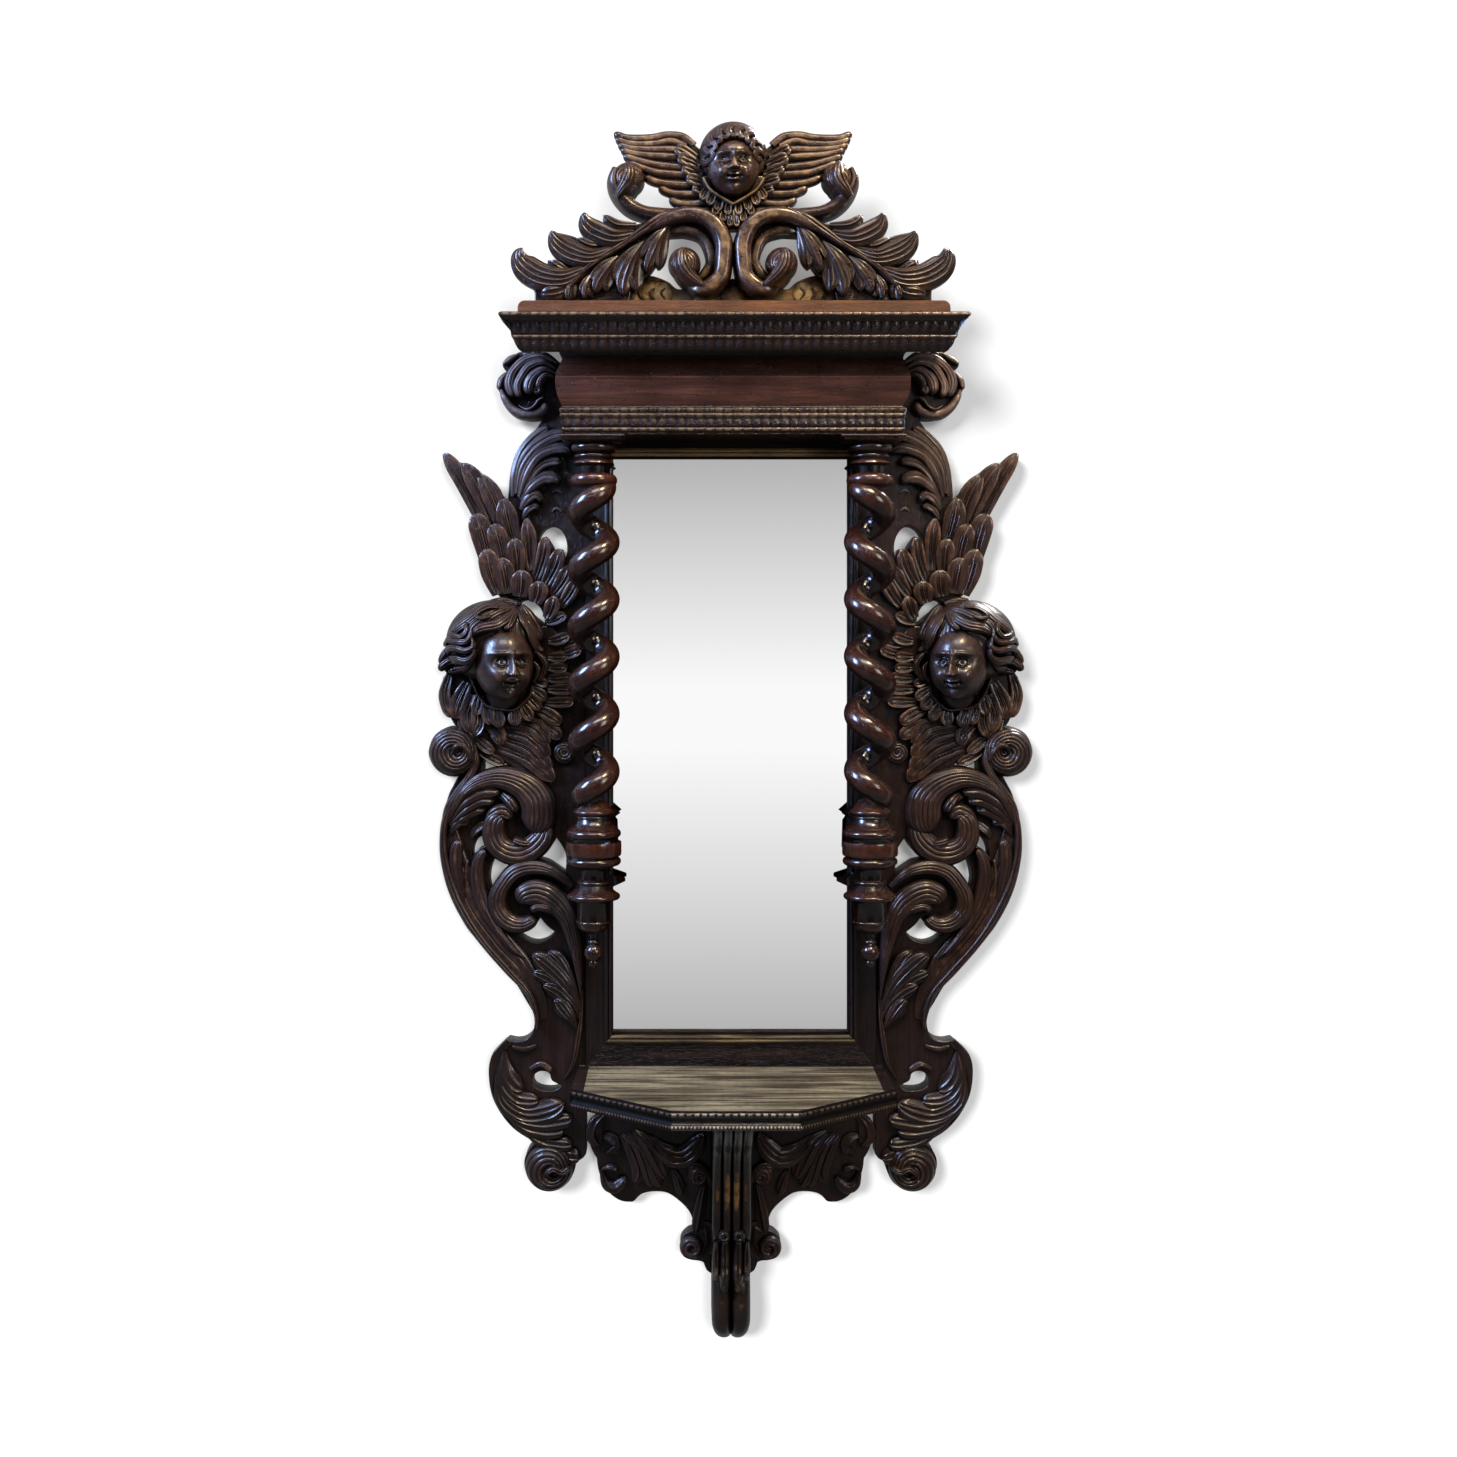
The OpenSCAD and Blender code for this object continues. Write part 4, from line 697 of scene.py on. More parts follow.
# A moulding's rows are its outline: out from the block, up, depth of the cut, kind of cut.
CORNICE = [
    (49, 28, 0, 0), (49, -2.5, 0, 0), (51, -2.5, 0, 0), (54.5, -0.8, 0.8, RIPPLE), (57.5, 2, 1.4, RIPPLE),
    (59.5, 5.5, 1.5, RIPPLE), (60.4, 9, 1.2, RIPPLE), (60.6, 10.6, 0.3, RIPPLE), (61.2, 11, 0, 0),
    (62.6, 12, 0.3, BEAD), (63.4, 13.4, 0.5, BEAD), (62.6, 14.8, 0.3, BEAD), (61.4, 15.8, 0, 0),
    (62, 16.6, 0, 0), (63.4, 18, 0.8, RIPPLE), (65.6, 21.5, 1.5, RIPPLE), (66.8, 25, 1.8, RIPPLE),
    (67.2, 28.4, 1.4, RIPPLE), (67.2, 30.6, 0.4, RIPPLE), (67.4, 31.4, 0, 0), (73.4, 32, 0, 0),
    (74, 33.4, 0, 0), (76, 34.4, 0, 0), (77, 36, 0.5, BEAD), (77, 37.6, 0.6, BEAD), (76, 39, 0.5, BEAD),
    (74, 40, 0.2, 0), (66, 40, 0, 0), (66, 28, 0, 0)]
ARCHITRAVE = [
    (0, -59, 0, 0), (0, -93, 0, 0), (7, -93, 0, 0), (7, -90.2, 0, 0), (8.8, -89.6, 0.4, BEAD),
    (10, -87.5, 0.8, BEAD), (8.8, -85.6, 0.4, BEAD), (8, -84.8, 0, 0), (9.6, -84, 0.5, RIPPLE),
    (10.6, -80.5, 1.3, RIPPLE), (10.2, -76.5, 1.3, RIPPLE), (8.8, -74.2, 0.3, RIPPLE),
    (9.6, -73.2, 0.4, BEAD), (11.5, -71, 0.9, BEAD), (9.8, -69, 0.4, BEAD), (9.2, -67.6, 0, 0),
    (10.2, -66.6, 0.4, BEAD), (12, -64.2, 1.0, BEAD), (10.4, -61.8, 0.4, BEAD), (8, -60.6, 0, 0),
    (8, -59, 0, 0)]


def profile_waves(profile, place, pitch):
    """How far the ripples and bead cuts go in at each place along the moulding, and how rubbed each place is,
    darker in the cuts as painted shade.
    """
    rows = np.array(profile, float)
    wave = np.zeros((len(place), len(rows)))
    for kind in (RIPPLE, BEAD):
        here = rows[:, 3] == kind
        wave[:, here] = (np.abs(np.cos(np.pi * place[:, here] / pitch)) ** kind) * rows[here, 2]
    strength = np.array([RUBBED[kind] for kind in rows[:, 3]])
    rub_and_painted_light = strength[None] * (1 - 0.9 * wave / np.maximum(rows[:, 2], 0.3))
    return rows, wave, rub_and_painted_light


def front_moulding(work, profile, pitch, half, front):
    """A moulding along the front whose ends are mitred."""
    reach = half + max(p[0] for p in profile)
    t = np.linspace(-1, 1, int(2 * reach / RIPPLE_GAP))[:, None]
    place = t * (half + np.array(profile)[None, :, 0])
    rows, wave, rub_and_painted_light = profile_waves(profile, place, pitch)
    points = np.stack([place, -(front + rows[None, :, 0] - wave), rows[None, :, 1] + 0 * place], -1)
    work.tube(points, rub_and_painted_light)


def return_moulding(work, profile, pitch, half, front, back):
    """The same moulding turned back along the right side."""
    reach = front + np.array(profile)[None, :, 0]
    t = np.linspace(0, 1, max(4, int((reach.max() - back) / RIPPLE_GAP)))[:, None]
    place = back + t * (reach - back)
    rows, wave, rub_and_painted_light = profile_waves(profile, place, pitch)
    points = np.stack([half + rows[None, :, 0] - wave, -place, rows[None, :, 1] + 0 * place], -1)
    work.tube(points, rub_and_painted_light)


def edge_moulding(work, start, stop, ends, pitch):
    """The shelf's edge between two plan points of its outer line, with the given mitres:
    two rows of beads and a hollow between them."""
    start, stop = np.array(start), np.array(stop)
    length = np.hypot(*(stop - start))
    along = (stop - start) / length
    outward = np.array([-along[1], along[0]])
    rows = np.array(SHELF_EDGE, float)
    out = rows[None, :, 0]
    t = np.linspace(0, 1, int(length / BEAD_GAP))[:, None]
    place = -ends[0] * out * (1 - t) + (length + ends[1] * out) * t
    fine = np.where(rows[None, :, 1] < FINE_BEADS, 2, 1)
    wave = np.abs(np.cos(np.pi * place * fine / pitch)) ** 12 * rows[None, :, 2]
    plan = start + along * place[..., None] + outward * (out - wave)[..., None]
    up = SHELF_TOP + rows[None, :, 1] + 0 * place
    rub_and_painted_light = np.where(rows[:, 2] > 0, 1.0, 0.15)[None] * (1 - wave / np.maximum(rows[:, 2], 0.5))
    work.tube(np.stack([plan[..., 0], -plan[..., 1], up], -1), rub_and_painted_light)


# Side carvings, drawn for the right and mirrored to the left


# Outlines are points of (across, up), and a point given twice is a corner.
SIDE_EDGE = [
    (181, -8), (200, 0), (214, 8), (222, 15), (232, 21), (242, 17), (242, 17), (252, 20), (265, 21),
    (271, 16), (280, 14), (280, 14), (286, 4), (280, -3), (280, -3), (286, -8), (292, -19), (290, -29),
    (286, -31), (285, -36), (278, -47), (266, -59), (252, -63), (235, -62), (235, -62), (245, -77),
    (258, -94), (271, -114), (277, -138), (279, -165), (279, -165), (293, -151), (306, -136), (322, -124),
    (341, -116), (358, -106), (361, -111), (352, -127), (341, -144), (325, -173), (320, -192), (318, -229),
    (309, -258), (299, -275), (288, -287), (288, -287), (305, -292), (320, -301), (344, -327), (357, -350),
    (364, -368), (355, -383), (355, -383), (358, -401), (358, -418), (352, -434), (343, -449), (343, -449),
    (355, -449), (370, -458), (377.5, -474), (377.5, -487), (370, -501), (357, -509), (341, -510),
    (341, -510), (348, -523), (354, -536), (362, -568), (364, -587), (363, -605), (358, -628), (349, -663),
    (333, -697), (314, -720), (287, -747), (264, -772), (252, -791), (246, -815), (248, -831), (256, -840),
    (267, -843), (279, -841), (279, -841), (291, -853), (298, -875), (297, -900), (289, -921), (272, -942),
    (251, -958), (238, -966), (238, -966), (250, -975), (258, -990), (257, -1006), (248, -1020),
    (233, -1029), (217, -1028), (203, -1019), (195, -1003), (194, -994), (194, -994), (186, -990),
    (181, -984)]
SIDE_HOLES = [
    [(240, -219), (239, -209), (232, -200), (222, -197), (212, -203), (206, -215), (205, -229), (208, -240),
     (208, -240), (211, -226), (211, -226), (219, -229), (219, -229), (225, -218), (231, -210),
     (231, -210)],
    [(264, -293), (253, -290), (240, -298), (234, -310), (233, -320), (233, -320), (245, -310),
     (256, -301)],
    [(310, -482), (310, -482), (292, -489), (278, -497), (278, -497), (295, -500), (310, -506),
     (310, -506)],
    [(308, -584), (308, -584), (317, -589), (323, -600), (324, -612), (324, -612), (317, -603), (304, -596),
     (304, -596)],
    [(294, -611), (294, -611), (284, -617), (274, -620), (274, -620), (285, -630), (295, -643), (299, -659),
     (299, -659), (303, -640), (300, -622)],
    [(241, -614), (241, -614), (228, -603), (218, -588), (218, -588), (210, -600), (206, -612), (207, -632),
     (207, -632), (218, -624), (229, -617)],
    [(238, -688), (238, -688), (231, -697), (220, -706), (220, -706), (229, -715), (242, -719), (255, -716),
     (267, -707), (267, -707), (253, -704), (244, -696)],
    [(236, -880), (227, -883), (224, -892), (212, -898), (212, -898), (220, -904), (236, -904), (246, -899),
     (248, -891), (244, -883)]]


# Leaves and scrolls are their reeds, height at the root, height, and points of (across, up, half
# width); a bare path has points of (across, up, half width, height).
EAR_SCROLL = [
    leaf(1, 4, 8, (267, 17, 2.2), (276, 11, 4.5), (285, 4, 2.2)),
    leaf(1, 4, 8, (281, -6, 2.2), (287, -15, 4.5), (290, -27, 3.4)),
    leaf(1, 4, 8, (243, 17, 2.2), (251, 16, 4.5), (260, 18, 3.4)),
    leaf(0, 6, 13, (287, -27, 2.2), (283, -37, 4.5), (275, -49, 5.6), (263, -57, 6.7), (249, -58, 6.7),
         (236, -53, 6.7), (231, -43, 5.6)),
    leaf(3, 7, 14, (217, 6, 2.2), (236, 14, 5.6), (255, 10, 6.7), (270, -3, 6.7), (276, -20, 7.8),
         (271, -37, 5.6)),
    leaf(3, 8, 17, (219, -1, 2.2), (235, 6, 5.6), (251, 1, 6.7), (261, -12, 6.7), (266, -25, 6.7),
         (263, -38, 4.5)),
    leaf(4, 10, 20, (219, -7, 2.2), (233, -4, 5.6), (244, -10, 7.8), (251, -21, 9), (252, -34, 6.7)),
    leaf(2, 10, 21, (220, -12, 2.2), (229, -10, 3.4), (237, -16, 4.5), (241, -27, 4.5)),
    leaf(0, 8, 17, (265, -47, 1.1), (254, -53, 2.2), (245, -49, 2.2), (240, -42, 2.2), (233, -38, 1.1))]
ARCH_LEAVES = [
    leaf(2, 4, 8, (273, -160, 2.4), (271, -135, 5), (262, -106, 6), (246, -86, 6), (228, -74, 5)),
    leaf(3, 6, 12, (269, -157, 2.4), (263, -125, 7, 11), (247, -101, 9), (225, -87, 9), (207, -84, 7),
         (201, -92, 4)),
    leaf(3, 7, 14, (265, -161, 2.4), (257, -133, 7, 13), (243, -111, 8), (223, -101, 8), (207, -101, 7),
         (201, -107, 4, 13)),
    leaf(2, 6, 12, (263, -163, 2.4), (251, -137, 6), (237, -121, 7, 13), (221, -116, 7, 13),
         (212, -120, 4)),
    leaf(3, 6, 14, (261, -165, 2.4), (251, -149, 7, 13), (235, -137, 9), (221, -138, 8),
         (216, -145, 4, 12)),
    leaf(2, 5, 12, (263, -177, 2.4), (255, -165, 6), (246, -158, 7, 13), (239, -162, 5),
         (239, -168, 3, 10)),
    leaf(2, 4, 9, (261, -189, 1.6), (254, -177, 5), (246, -172, 6, 10), (241, -176, 3))]
UPPER_SCROLL = [
    leaf(7, 8, 17, (354, -568, 3), (336, -534, 7), (314, -517, 11), (287, -512, 14.5), (261, -521, 18.5),
         (244, -539, 22.5), (241, -563, 22.5), (246, -582, 16.5)),
    leaf(5, 8, 16, (229, -565, 6), (236, -588, 15, 15), (253, -603, 16), (272, -606, 16), (289, -598, 15),
         (296, -583, 15), (294, -567, 14), (284, -557, 11)),
    leaf(2, 9, 18, (239, -590, 3), (256, -593, 5), (272, -588, 5)),
    leaf(1, 6, 12, (290, -534, 5), (277, -542, 6), (268, -550, 5)),
    leaf(3, 8, 14, (305, -571, 4), (297, -559, 9), (284, -554, 11, 15), (272, -562, 8)),
    leaf(2, 8, 18, (286, -531, 4), (275, -541, 7), (266, -555, 6, 17))]
UPPER_LOBES = [
    leaf(3, 7.2, 14.4, (352, -568, 2.4), (335, -543, 7.8), (311, -528, 10.9), (287, -529, 9.4)),
    leaf(3, 7.2, 13.5, (352, -571, 2.4), (333, -551, 7.8), (314, -539, 9.4), (295, -541, 7.8)),
    leaf(3, 5.4, 11.7, (352, -576, 2.4), (336, -561, 7.8), (320, -551, 9.4), (306, -553, 7.8)),
    leaf(2, 5.4, 10.8, (353, -585, 2.4), (346, -573, 6.2), (338, -565, 7.8), (327, -570, 6.2)),
    leaf(1, 3.6, 7.2, (325, -587, 2.4), (320, -579, 4.7), (306, -568, 4.7))]
LOWER_SCROLL = [
    leaf(6, 8, 19, (187, -787, 1), (190, -751, 5, 17), (195, -718, 9, 17), (204, -686, 13, 18),
         (220, -665, 17), (240, -655, 18), (256, -658, 16), (265, -668, 12, 18)),
    leaf(5, 8, 16, (199, -648, 4), (221, -629, 8), (245, -623, 10), (268, -628, 11), (284, -645, 11),
         (292, -664, 12), (287, -683, 12), (272, -694, 12), (256, -694, 10), (243, -686, 8)),
    leaf(3, 10, 19, (215, -686, 3), (226, -675, 6), (240, -672, 6), (250, -677, 5))]
LOWER_LOBES = [
    leaf(4, 5.1, 11, (189, -798, 2.4), (202, -767, 9.7), (215, -742, 11.3), (228, -729, 9.7)),
    leaf(4, 6.8, 12.8, (189, -803, 2.4), (207, -769, 11.3), (231, -745, 13), (248, -732, 9.7)),
    leaf(3, 5.1, 10.2, (190, -807, 2.4), (208, -780, 8.1), (229, -763, 9.7), (248, -755, 6.5)),
    leaf(3, 5.1, 10.2, (189, -814, 2.4), (202, -793, 8.1), (218, -779, 9.7), (235, -771, 6.5)),
    leaf(4, 5.1, 10.2, (193, -825, 2.4), (201, -811, 8.1), (211, -798, 11.3), (220, -788, 8.1))]
STEMS = [
    leaf(2, 6, 12, (325, -493, 2), (328, -512, 4), (343, -534, 5), (355, -560, 5), (359, -584, 5),
         (357, -614, 6), (347, -651, 7), (330, -686, 7), (307, -719, 6), (279, -751, 6), (253, -780, 5),
         (243, -806, 4), (241, -826, 2)),
    leaf(3, 6, 12, (331, -674, 2), (338, -650, 7, 10), (343, -625, 9), (343, -603, 9), (338, -589, 6)),
    leaf(3, 6, 12, (256, -738, 1), (271, -726, 4), (291, -702, 7), (309, -671, 10), (317, -640, 10),
         (315, -616, 8), (306, -601, 5)),
    leaf(1, 4, 7, (319, -689, 2), (327, -667, 4), (331, -636, 4), (329, -614, 3))]
NECK = [
    (336, -453, 3, 8), (322, -474, 5, 12), (319, -493, 6, 14), (327, -512, 6, 14), (341, -531, 6, 13),
    (352, -550, 6, 12), (358, -573, 4, 9), (360, -593, 1, 4)]
NECK_CURL = [
    leaf(3, 8, 15, (346, -484, 2), (343, -473, 4), (333, -471, 5), (325, -480, 5, 14), (322, -492, 3, 10))]
FOOT_CURL = [
    leaf(2, 8, 14, (222, -1010, 2), (229, -1003, 4), (221, -997, 5), (209, -1001, 5), (200, -995, 4, 10))]
RUFF_RIM = [
    (331, -376, 1.5, 5), (322, -392, 2.2, 9), (314, -409, 2.4, 11), (303, -422, 2.4, 11),
    (287, -426, 2.4, 11), (270, -427, 2.4, 11), (260, -420, 2.4, 11), (250, -409, 2.4, 11),
    (247, -397, 1.5, 8)]
STEM_FLAT = [
    (350, -570, 6, 4), (340, -630, 16, 6), (322, -675, 18, 7), (294, -715, 18, 7), (262, -752, 16, 6),
    (243, -790, 12, 3), (236, -815, 6, 1)]
SIDE_STEM = [(186, -777, 2, 5), (187, -809, 3, 6), (191, -841, 4, 6), (197, -870, 3, 5), (208, -889, 1, 3)]
FOOT_SCROLL = [
    leaf(1, 4, 9, (278, -842, 3.6), (293, -861, 6), (295, -886, 7.2), (288, -915, 7.2), (267, -944, 7.2),
         (235, -966, 6), (210, -986, 4.8)),
    leaf(3, 4.8, 10.4, (283, -855, 2.4), (281, -880, 10.8), (271, -897, 13.8), (259, -903, 12.3)),
    leaf(3, 4.8, 10.4, (290, -869, 2.4), (283, -897, 9.2), (265, -914, 10.8), (239, -916, 9.2)),
    leaf(4, 6.4, 12, (293, -882, 2.4), (283, -915, 10.8), (257, -932, 13.8), (229, -929, 15.4),
         (208, -919, 9.2)),
    leaf(3, 6.4, 12, (290, -898, 2.4), (270, -932, 9.2), (241, -943, 10.8), (214, -941, 10.8),
         (197, -938, 7.7)),
    leaf(3, 6.4, 12, (284, -917, 2.4), (262, -944, 7.7), (233, -953, 10.8), (207, -952, 7.7)),
    leaf(3, 5.6, 11.2, (271, -938, 2.4), (241, -962, 7.7), (216, -969, 9.2), (197, -970, 7.7)),
    leaf(3, 4.8, 10.4, (249, -954, 2.4), (225, -972, 7.7), (204, -983, 10.8), (188, -988, 10.8)),
    leaf(0, 3, 6, (251, -877, 2.4), (237, -870, 3.6), (223, -879, 3.6)),
    leaf(0, 3, 6, (243, -848, 2.4), (260, -852, 3.6), (274, -848, 2.4))]

# Feathers are rows of (root, middle and tip), half width and level above the board. A wing's root
# and a collar's ground are outlines of what lies behind them.
WING_ROOT = [
    (299, -275), (309, -258), (318, -229), (319, -200), (303, -190), (270, -196), (246, -214), (238, -240),
    (215, -276), (214, -290), (226, -296), (236, -290), (262, -288)]
WING_FLIGHT = [
    ([(309, -199), (336, -141), (358, -106)], 10, 0),
    ([(293, -202), (317, -146), (336, -119)], 13, 0.6),
    ([(283, -208), (297, -163), (314, -133)], 13, 1.2),
    ([(270, -221), (279, -189), (284, -162)], 14.3, 1.8),
    ([(250, -253), (252, -215), (255, -187)], 10.4, 1.2)]
WING_COVERTS = [
    ([(302, -250), (309, -213), (319, -182)], 14.3, 3),
    ([(283, -250), (289, -218), (297, -195)], 13, 3.6),
    ([(266, -261), (267, -235), (271, -213)], 11.7, 3),
    ([(290, -283), (299, -256), (305, -226)], 13, 5),
    ([(279, -282), (283, -258), (288, -237)], 14.3, 4.4),
    ([(263, -286), (261, -269), (261, -252)], 14.3, 5),
    ([(244, -294), (240, -280), (239, -266)], 13, 5.4)]
WING_FAN = [
    ([(245, -267), (235, -237), (231, -211)], 9.1, 0),
    ([(234, -275), (220, -248), (213, -226)], 10.4, 0.8),
    ([(223, -285), (208, -263), (201, -247)], 10.4, 1.6),
    ([(213, -298), (201, -282), (191, -263)], 9.1, 0.8),
    ([(229, -313), (223, -298), (220, -285)], 10.4, 4)]
COLLAR_GROUND = [
    (355, -383), (358, -401), (358, -418), (352, -434), (343, -449), (326, -463), (314, -477), (293, -485),
    (277, -496), (245, -512), (232, -496), (238, -470), (232, -440), (222, -418), (216, -390), (212, -350),
    (224, -324), (250, -330), (262, -370), (300, -385)]
COLLAR_FEATHERS = [
    ([(314, -480), (299, -488), (283, -495)], 6.9, 0),
    ([(290, -474), (252, -488), (220, -516)], 11.5, 0),
    ([(287, -463), (253, -474), (224, -504)], 11.5, 0.8),
    ([(287, -452), (253, -460), (226, -487)], 11.5, 1.6),
    ([(263, -442), (242, -450), (227, -471)], 11.5, 2.4),
    ([(320, -461), (309, -471), (295, -481)], 8, 1),
    ([(304, -445), (291, -456), (287, -472)], 10.3, 2),
    ([(336, -437), (330, -450), (320, -463)], 10.3, 2),
    ([(351, -383), (357, -409), (349, -437)], 8, 2),
    ([(328, -393), (339, -417), (344, -439)], 11.5, 3),
    ([(320, -409), (328, -433), (325, -456)], 10.3, 3.6),
    ([(314, -431), (312, -445), (319, -460)], 5.8, 4.4),
    ([(314, -409), (315, -421), (319, -434)], 9.2, 5)]
SIDE_FEATHERS = [
    ([(231, -318), (218, -314), (206, -307)], 8, 1),
    ([(215, -345), (201, -343), (187, -337)], 9.2, 0),
    ([(228, -342), (215, -340), (202, -334)], 8, 2),
    ([(220, -359), (202, -358), (187, -352)], 6.9, 0),
    ([(228, -362), (216, -362), (204, -361)], 8, 2),
    ([(228, -375), (216, -375), (204, -375)], 8, 2.6),
    ([(229, -389), (215, -388), (198, -386)], 8, 2),
    ([(229, -402), (213, -402), (195, -401)], 8, 2.6),
    ([(232, -418), (215, -418), (196, -417)], 8, 1.6),
    ([(245, -425), (228, -433), (211, -444)], 9.2, 2.4),
    ([(248, -442), (229, -450), (211, -462)], 9.2, 1.4)]
RUFF_FEATHERS = [
    ([(306, -421), (303, -433), (298, -445)], 8, 5),
    ([(293, -425), (290, -437), (287, -449)], 9.2, 5.6),
    ([(271, -426), (269, -436), (270, -447)], 9.2, 5),
    ([(261, -420), (255, -429), (248, -440)], 8, 5.6),
    ([(253, -410), (245, -418), (237, -426)], 8, 5),
    ([(248, -401), (239, -407), (230, -414)], 8, 5.6),
    ([(245, -391), (236, -393), (228, -396)], 6.9, 5)]

# Locks of hair that lie on the side head's dome.
HAIR = [
    leaf(4, 4.5, 7.5, (266, -295, 3.3), (285, -294, 7.7, 6), (306, -302, 8.8), (323, -315, 7.7),
         (338, -326, 6.6), (344, -333, 4.4, 6)),
    leaf(3, 4.5, 7.5, (267, -299, 3.3), (283, -302, 6.6, 6), (299, -311, 7.7), (314, -321, 6.6, 9),
         (322, -334, 5.5, 9), (327, -342, 4.4)),
    leaf(3, 4.5, 12, (264, -300, 3.3), (274, -312, 6.6, 7.5), (287, -321, 7.7, 10.5), (302, -324, 7.7),
         (312, -329, 5.5), (314, -336, 3.3, 9)),
    leaf(2, 4.5, 10.5, (263, -299, 2.2), (267, -311, 4.4, 7.5), (270, -321, 4.4), (278, -327, 3.3)),
    leaf(3, 4.5, 10.5, (261, -297, 3.3), (254, -307, 6.6, 7.5), (246, -320, 7.7), (240, -332, 6.6),
         (238, -342, 4.4, 9)),
    leaf(3, 4.5, 9, (263, -304, 2.2), (256, -316, 4.4), (248, -328, 5.5, 10.5), (244, -340, 5.5, 10.5),
         (240, -350, 4.4), (233, -354, 3.3)),
    leaf(2, 12, 13.5, (286, -299, 2.2), (299, -299, 4.4), (310, -305, 4.4), (312, -311, 3.3),
         (303, -313, 3.3), (293, -310, 2.2, 12)),
    leaf(2, 12, 15, (325, -318, 2.2), (324, -329, 4.4), (331, -336, 4.4), (342, -334, 4.4),
         (345, -328, 2.2, 13.5)),
    leaf(3, 12, 15, (318, -326, 2.2), (319, -336, 4.4), (325, -342, 5.5), (337, -342, 5.5),
         (350, -340, 4.4, 13.5), (357, -348, 3.3, 12)),
    leaf(3, 12, 15, (317, -337, 2.2), (315, -348, 4.4), (325, -353, 5.5, 16.5), (337, -350, 5.5, 16.5),
         (349, -351, 5.5), (358, -361, 5.5, 13.5), (362, -370, 3.3, 12)),
    leaf(3, 12, 15, (315, -348, 2.2), (315, -359, 4.4), (325, -366, 6.6, 16.5), (339, -364, 6.6, 16.5),
         (352, -367, 6.6), (360, -374, 5.5, 13.5), (359, -379, 3.3, 10.5)),
    leaf(2, 10.5, 13.5, (317, -364, 2.2), (325, -374, 4.4), (339, -377, 5.5), (352, -379, 4.4, 12)),
    leaf(2, 9, 12, (243, -354, 2.2), (236, -361, 4.4), (231, -370, 4.4), (234, -382, 4.4, 10.5),
         (240, -391, 2.2, 9)),
    leaf(2, 9, 10.5, (245, -367, 2.2), (240, -375, 4.4), (242, -386, 3.3), (248, -393, 2.2, 9))]

# Crest, in front of the crest's back
CREST_C = [
    (152, 120, 2, 8), (139, 127, 5, 16), (115, 142, 6, 22), (89, 155, 8, 28), (65, 164, 9.5, 33),
    (41, 164, 10, 36), (22, 153, 10.5, 38), (11.6, 133, 11.5, 38), (11.3, 111, 11.3, 38), (15, 91, 11, 38),
    (29, 78, 11, 38), (44, 76, 8, 34), (53, 81, 3, 24)]
CREST_STEP = [
    (84, 144, 3, 12), (70, 148, 6, 18), (56, 149, 7, 20), (38, 143, 7, 20), (29, 129, 7, 20),
    (26, 111, 7, 20), (34, 96, 7, 20), (46, 88, 4, 16)]
CREST_SWIRL = [
    (36, 79, 6, 40), (45, 84, 9, 44), (54, 92, 12, 47), (60, 103, 13, 48), (61, 115, 11, 45),
    (57, 124, 5, 39)]
CREST_HOOK = [
    (38, 168, 6, 18), (67, 168, 8, 22), (87, 168, 9, 25), (106, 170, 9, 28), (122, 177, 10, 30),
    (135, 190, 10, 33), (142, 205, 9, 35), (139, 218, 7, 36)]
CREST_FLAP = [
    (139, 184, 6, 36), (132, 192, 10, 43), (126, 200, 13, 46), (123, 210, 13, 46), (124, 220, 9, 42),
    (128, 226, 4, 36)]
CREST_EDGE = [
    (60, 176), (74, 174), (100, 160), (123, 155), (132, 160), (140, 162), (148, 166), (155, 167),
    (155, 167), (152, 160), (151, 155), (151, 155), (164, 162), (178, 169), (178, 169), (182, 158),
    (176, 145), (163, 137), (163, 137), (170, 130), (170, 130), (187, 140), (200, 144), (216, 147),
    (216, 147), (217, 136), (210, 124), (203, 112), (203, 112), (221, 113), (221, 113), (222, 104),
    (222, 104), (240, 115), (251, 126), (251, 126), (260, 112), (255, 94), (244, 84), (237, 76), (237, 57),
    (237, 57), (126, 57), (126, 57), (123, 68), (123, 68), (121, 80), (119, 92), (119, 92), (107, 92),
    (100, 96), (90, 110), (85, 124), (80, 138), (60, 150)]
CREST_GROUND = [
    (150, 57), (144, 74), (130, 86), (115, 95), (98, 98), (78, 91), (66, 82), (50, 84), (30, 84), (12, 90),
    (0, 95)]
CREST_WING = [
    (34, 240), (38, 245), (47, 252), (60, 259), (79, 263), (98, 258), (120, 257), (140, 264), (140, 264),
    (136, 252), (131, 242), (125, 230), (106, 212), (106, 212), (82, 199), (72, 188), (65, 175), (65, 175),
    (47, 172), (21, 168), (8, 176), (16, 200)]
CREST_REEDS = [
    [(47, 250), (60, 260), (78, 262), (95, 259), (113, 258), (130, 259), (142, 265)],
    [(56, 248), (73, 255), (91, 252), (111, 251), (128, 253), (140, 259)],
    [(60, 243), (71, 245), (87, 245), (106, 245), (126, 247), (137, 252)],
    [(60, 236), (70, 236), (82, 237), (102, 238), (122, 241), (134, 246)],
    [(56, 225), (63, 224), (78, 225), (98, 228), (117, 233), (131, 238)],
    [(50, 216), (58, 215), (76, 216), (93, 218), (111, 224), (125, 230)],
    [(48, 204), (56, 203), (76, 204), (93, 207), (106, 213)],
    [(40, 193), (47, 192), (56, 192), (73, 193), (89, 200)],
    [(26, 185), (32, 183), (47, 180), (65, 181), (76, 187)],
    [(12, 172), (17, 170), (30, 172), (47, 172), (64, 175)]]
CREST_COVERTS = [([(44, 234), (57, 240), (69, 246)], 8, 2), ([(40, 224), (53, 230), (66, 235)], 8.5, 3),
                 ([(37, 213), (49, 218), (61, 223)], 8.5, 2), ([(33, 203), (45, 207), (56, 210)], 8, 3),
                 ([(28, 194), (38, 196), (49, 198)], 7, 2), ([(20, 187), (29, 187), (39, 188)], 6, 3)]
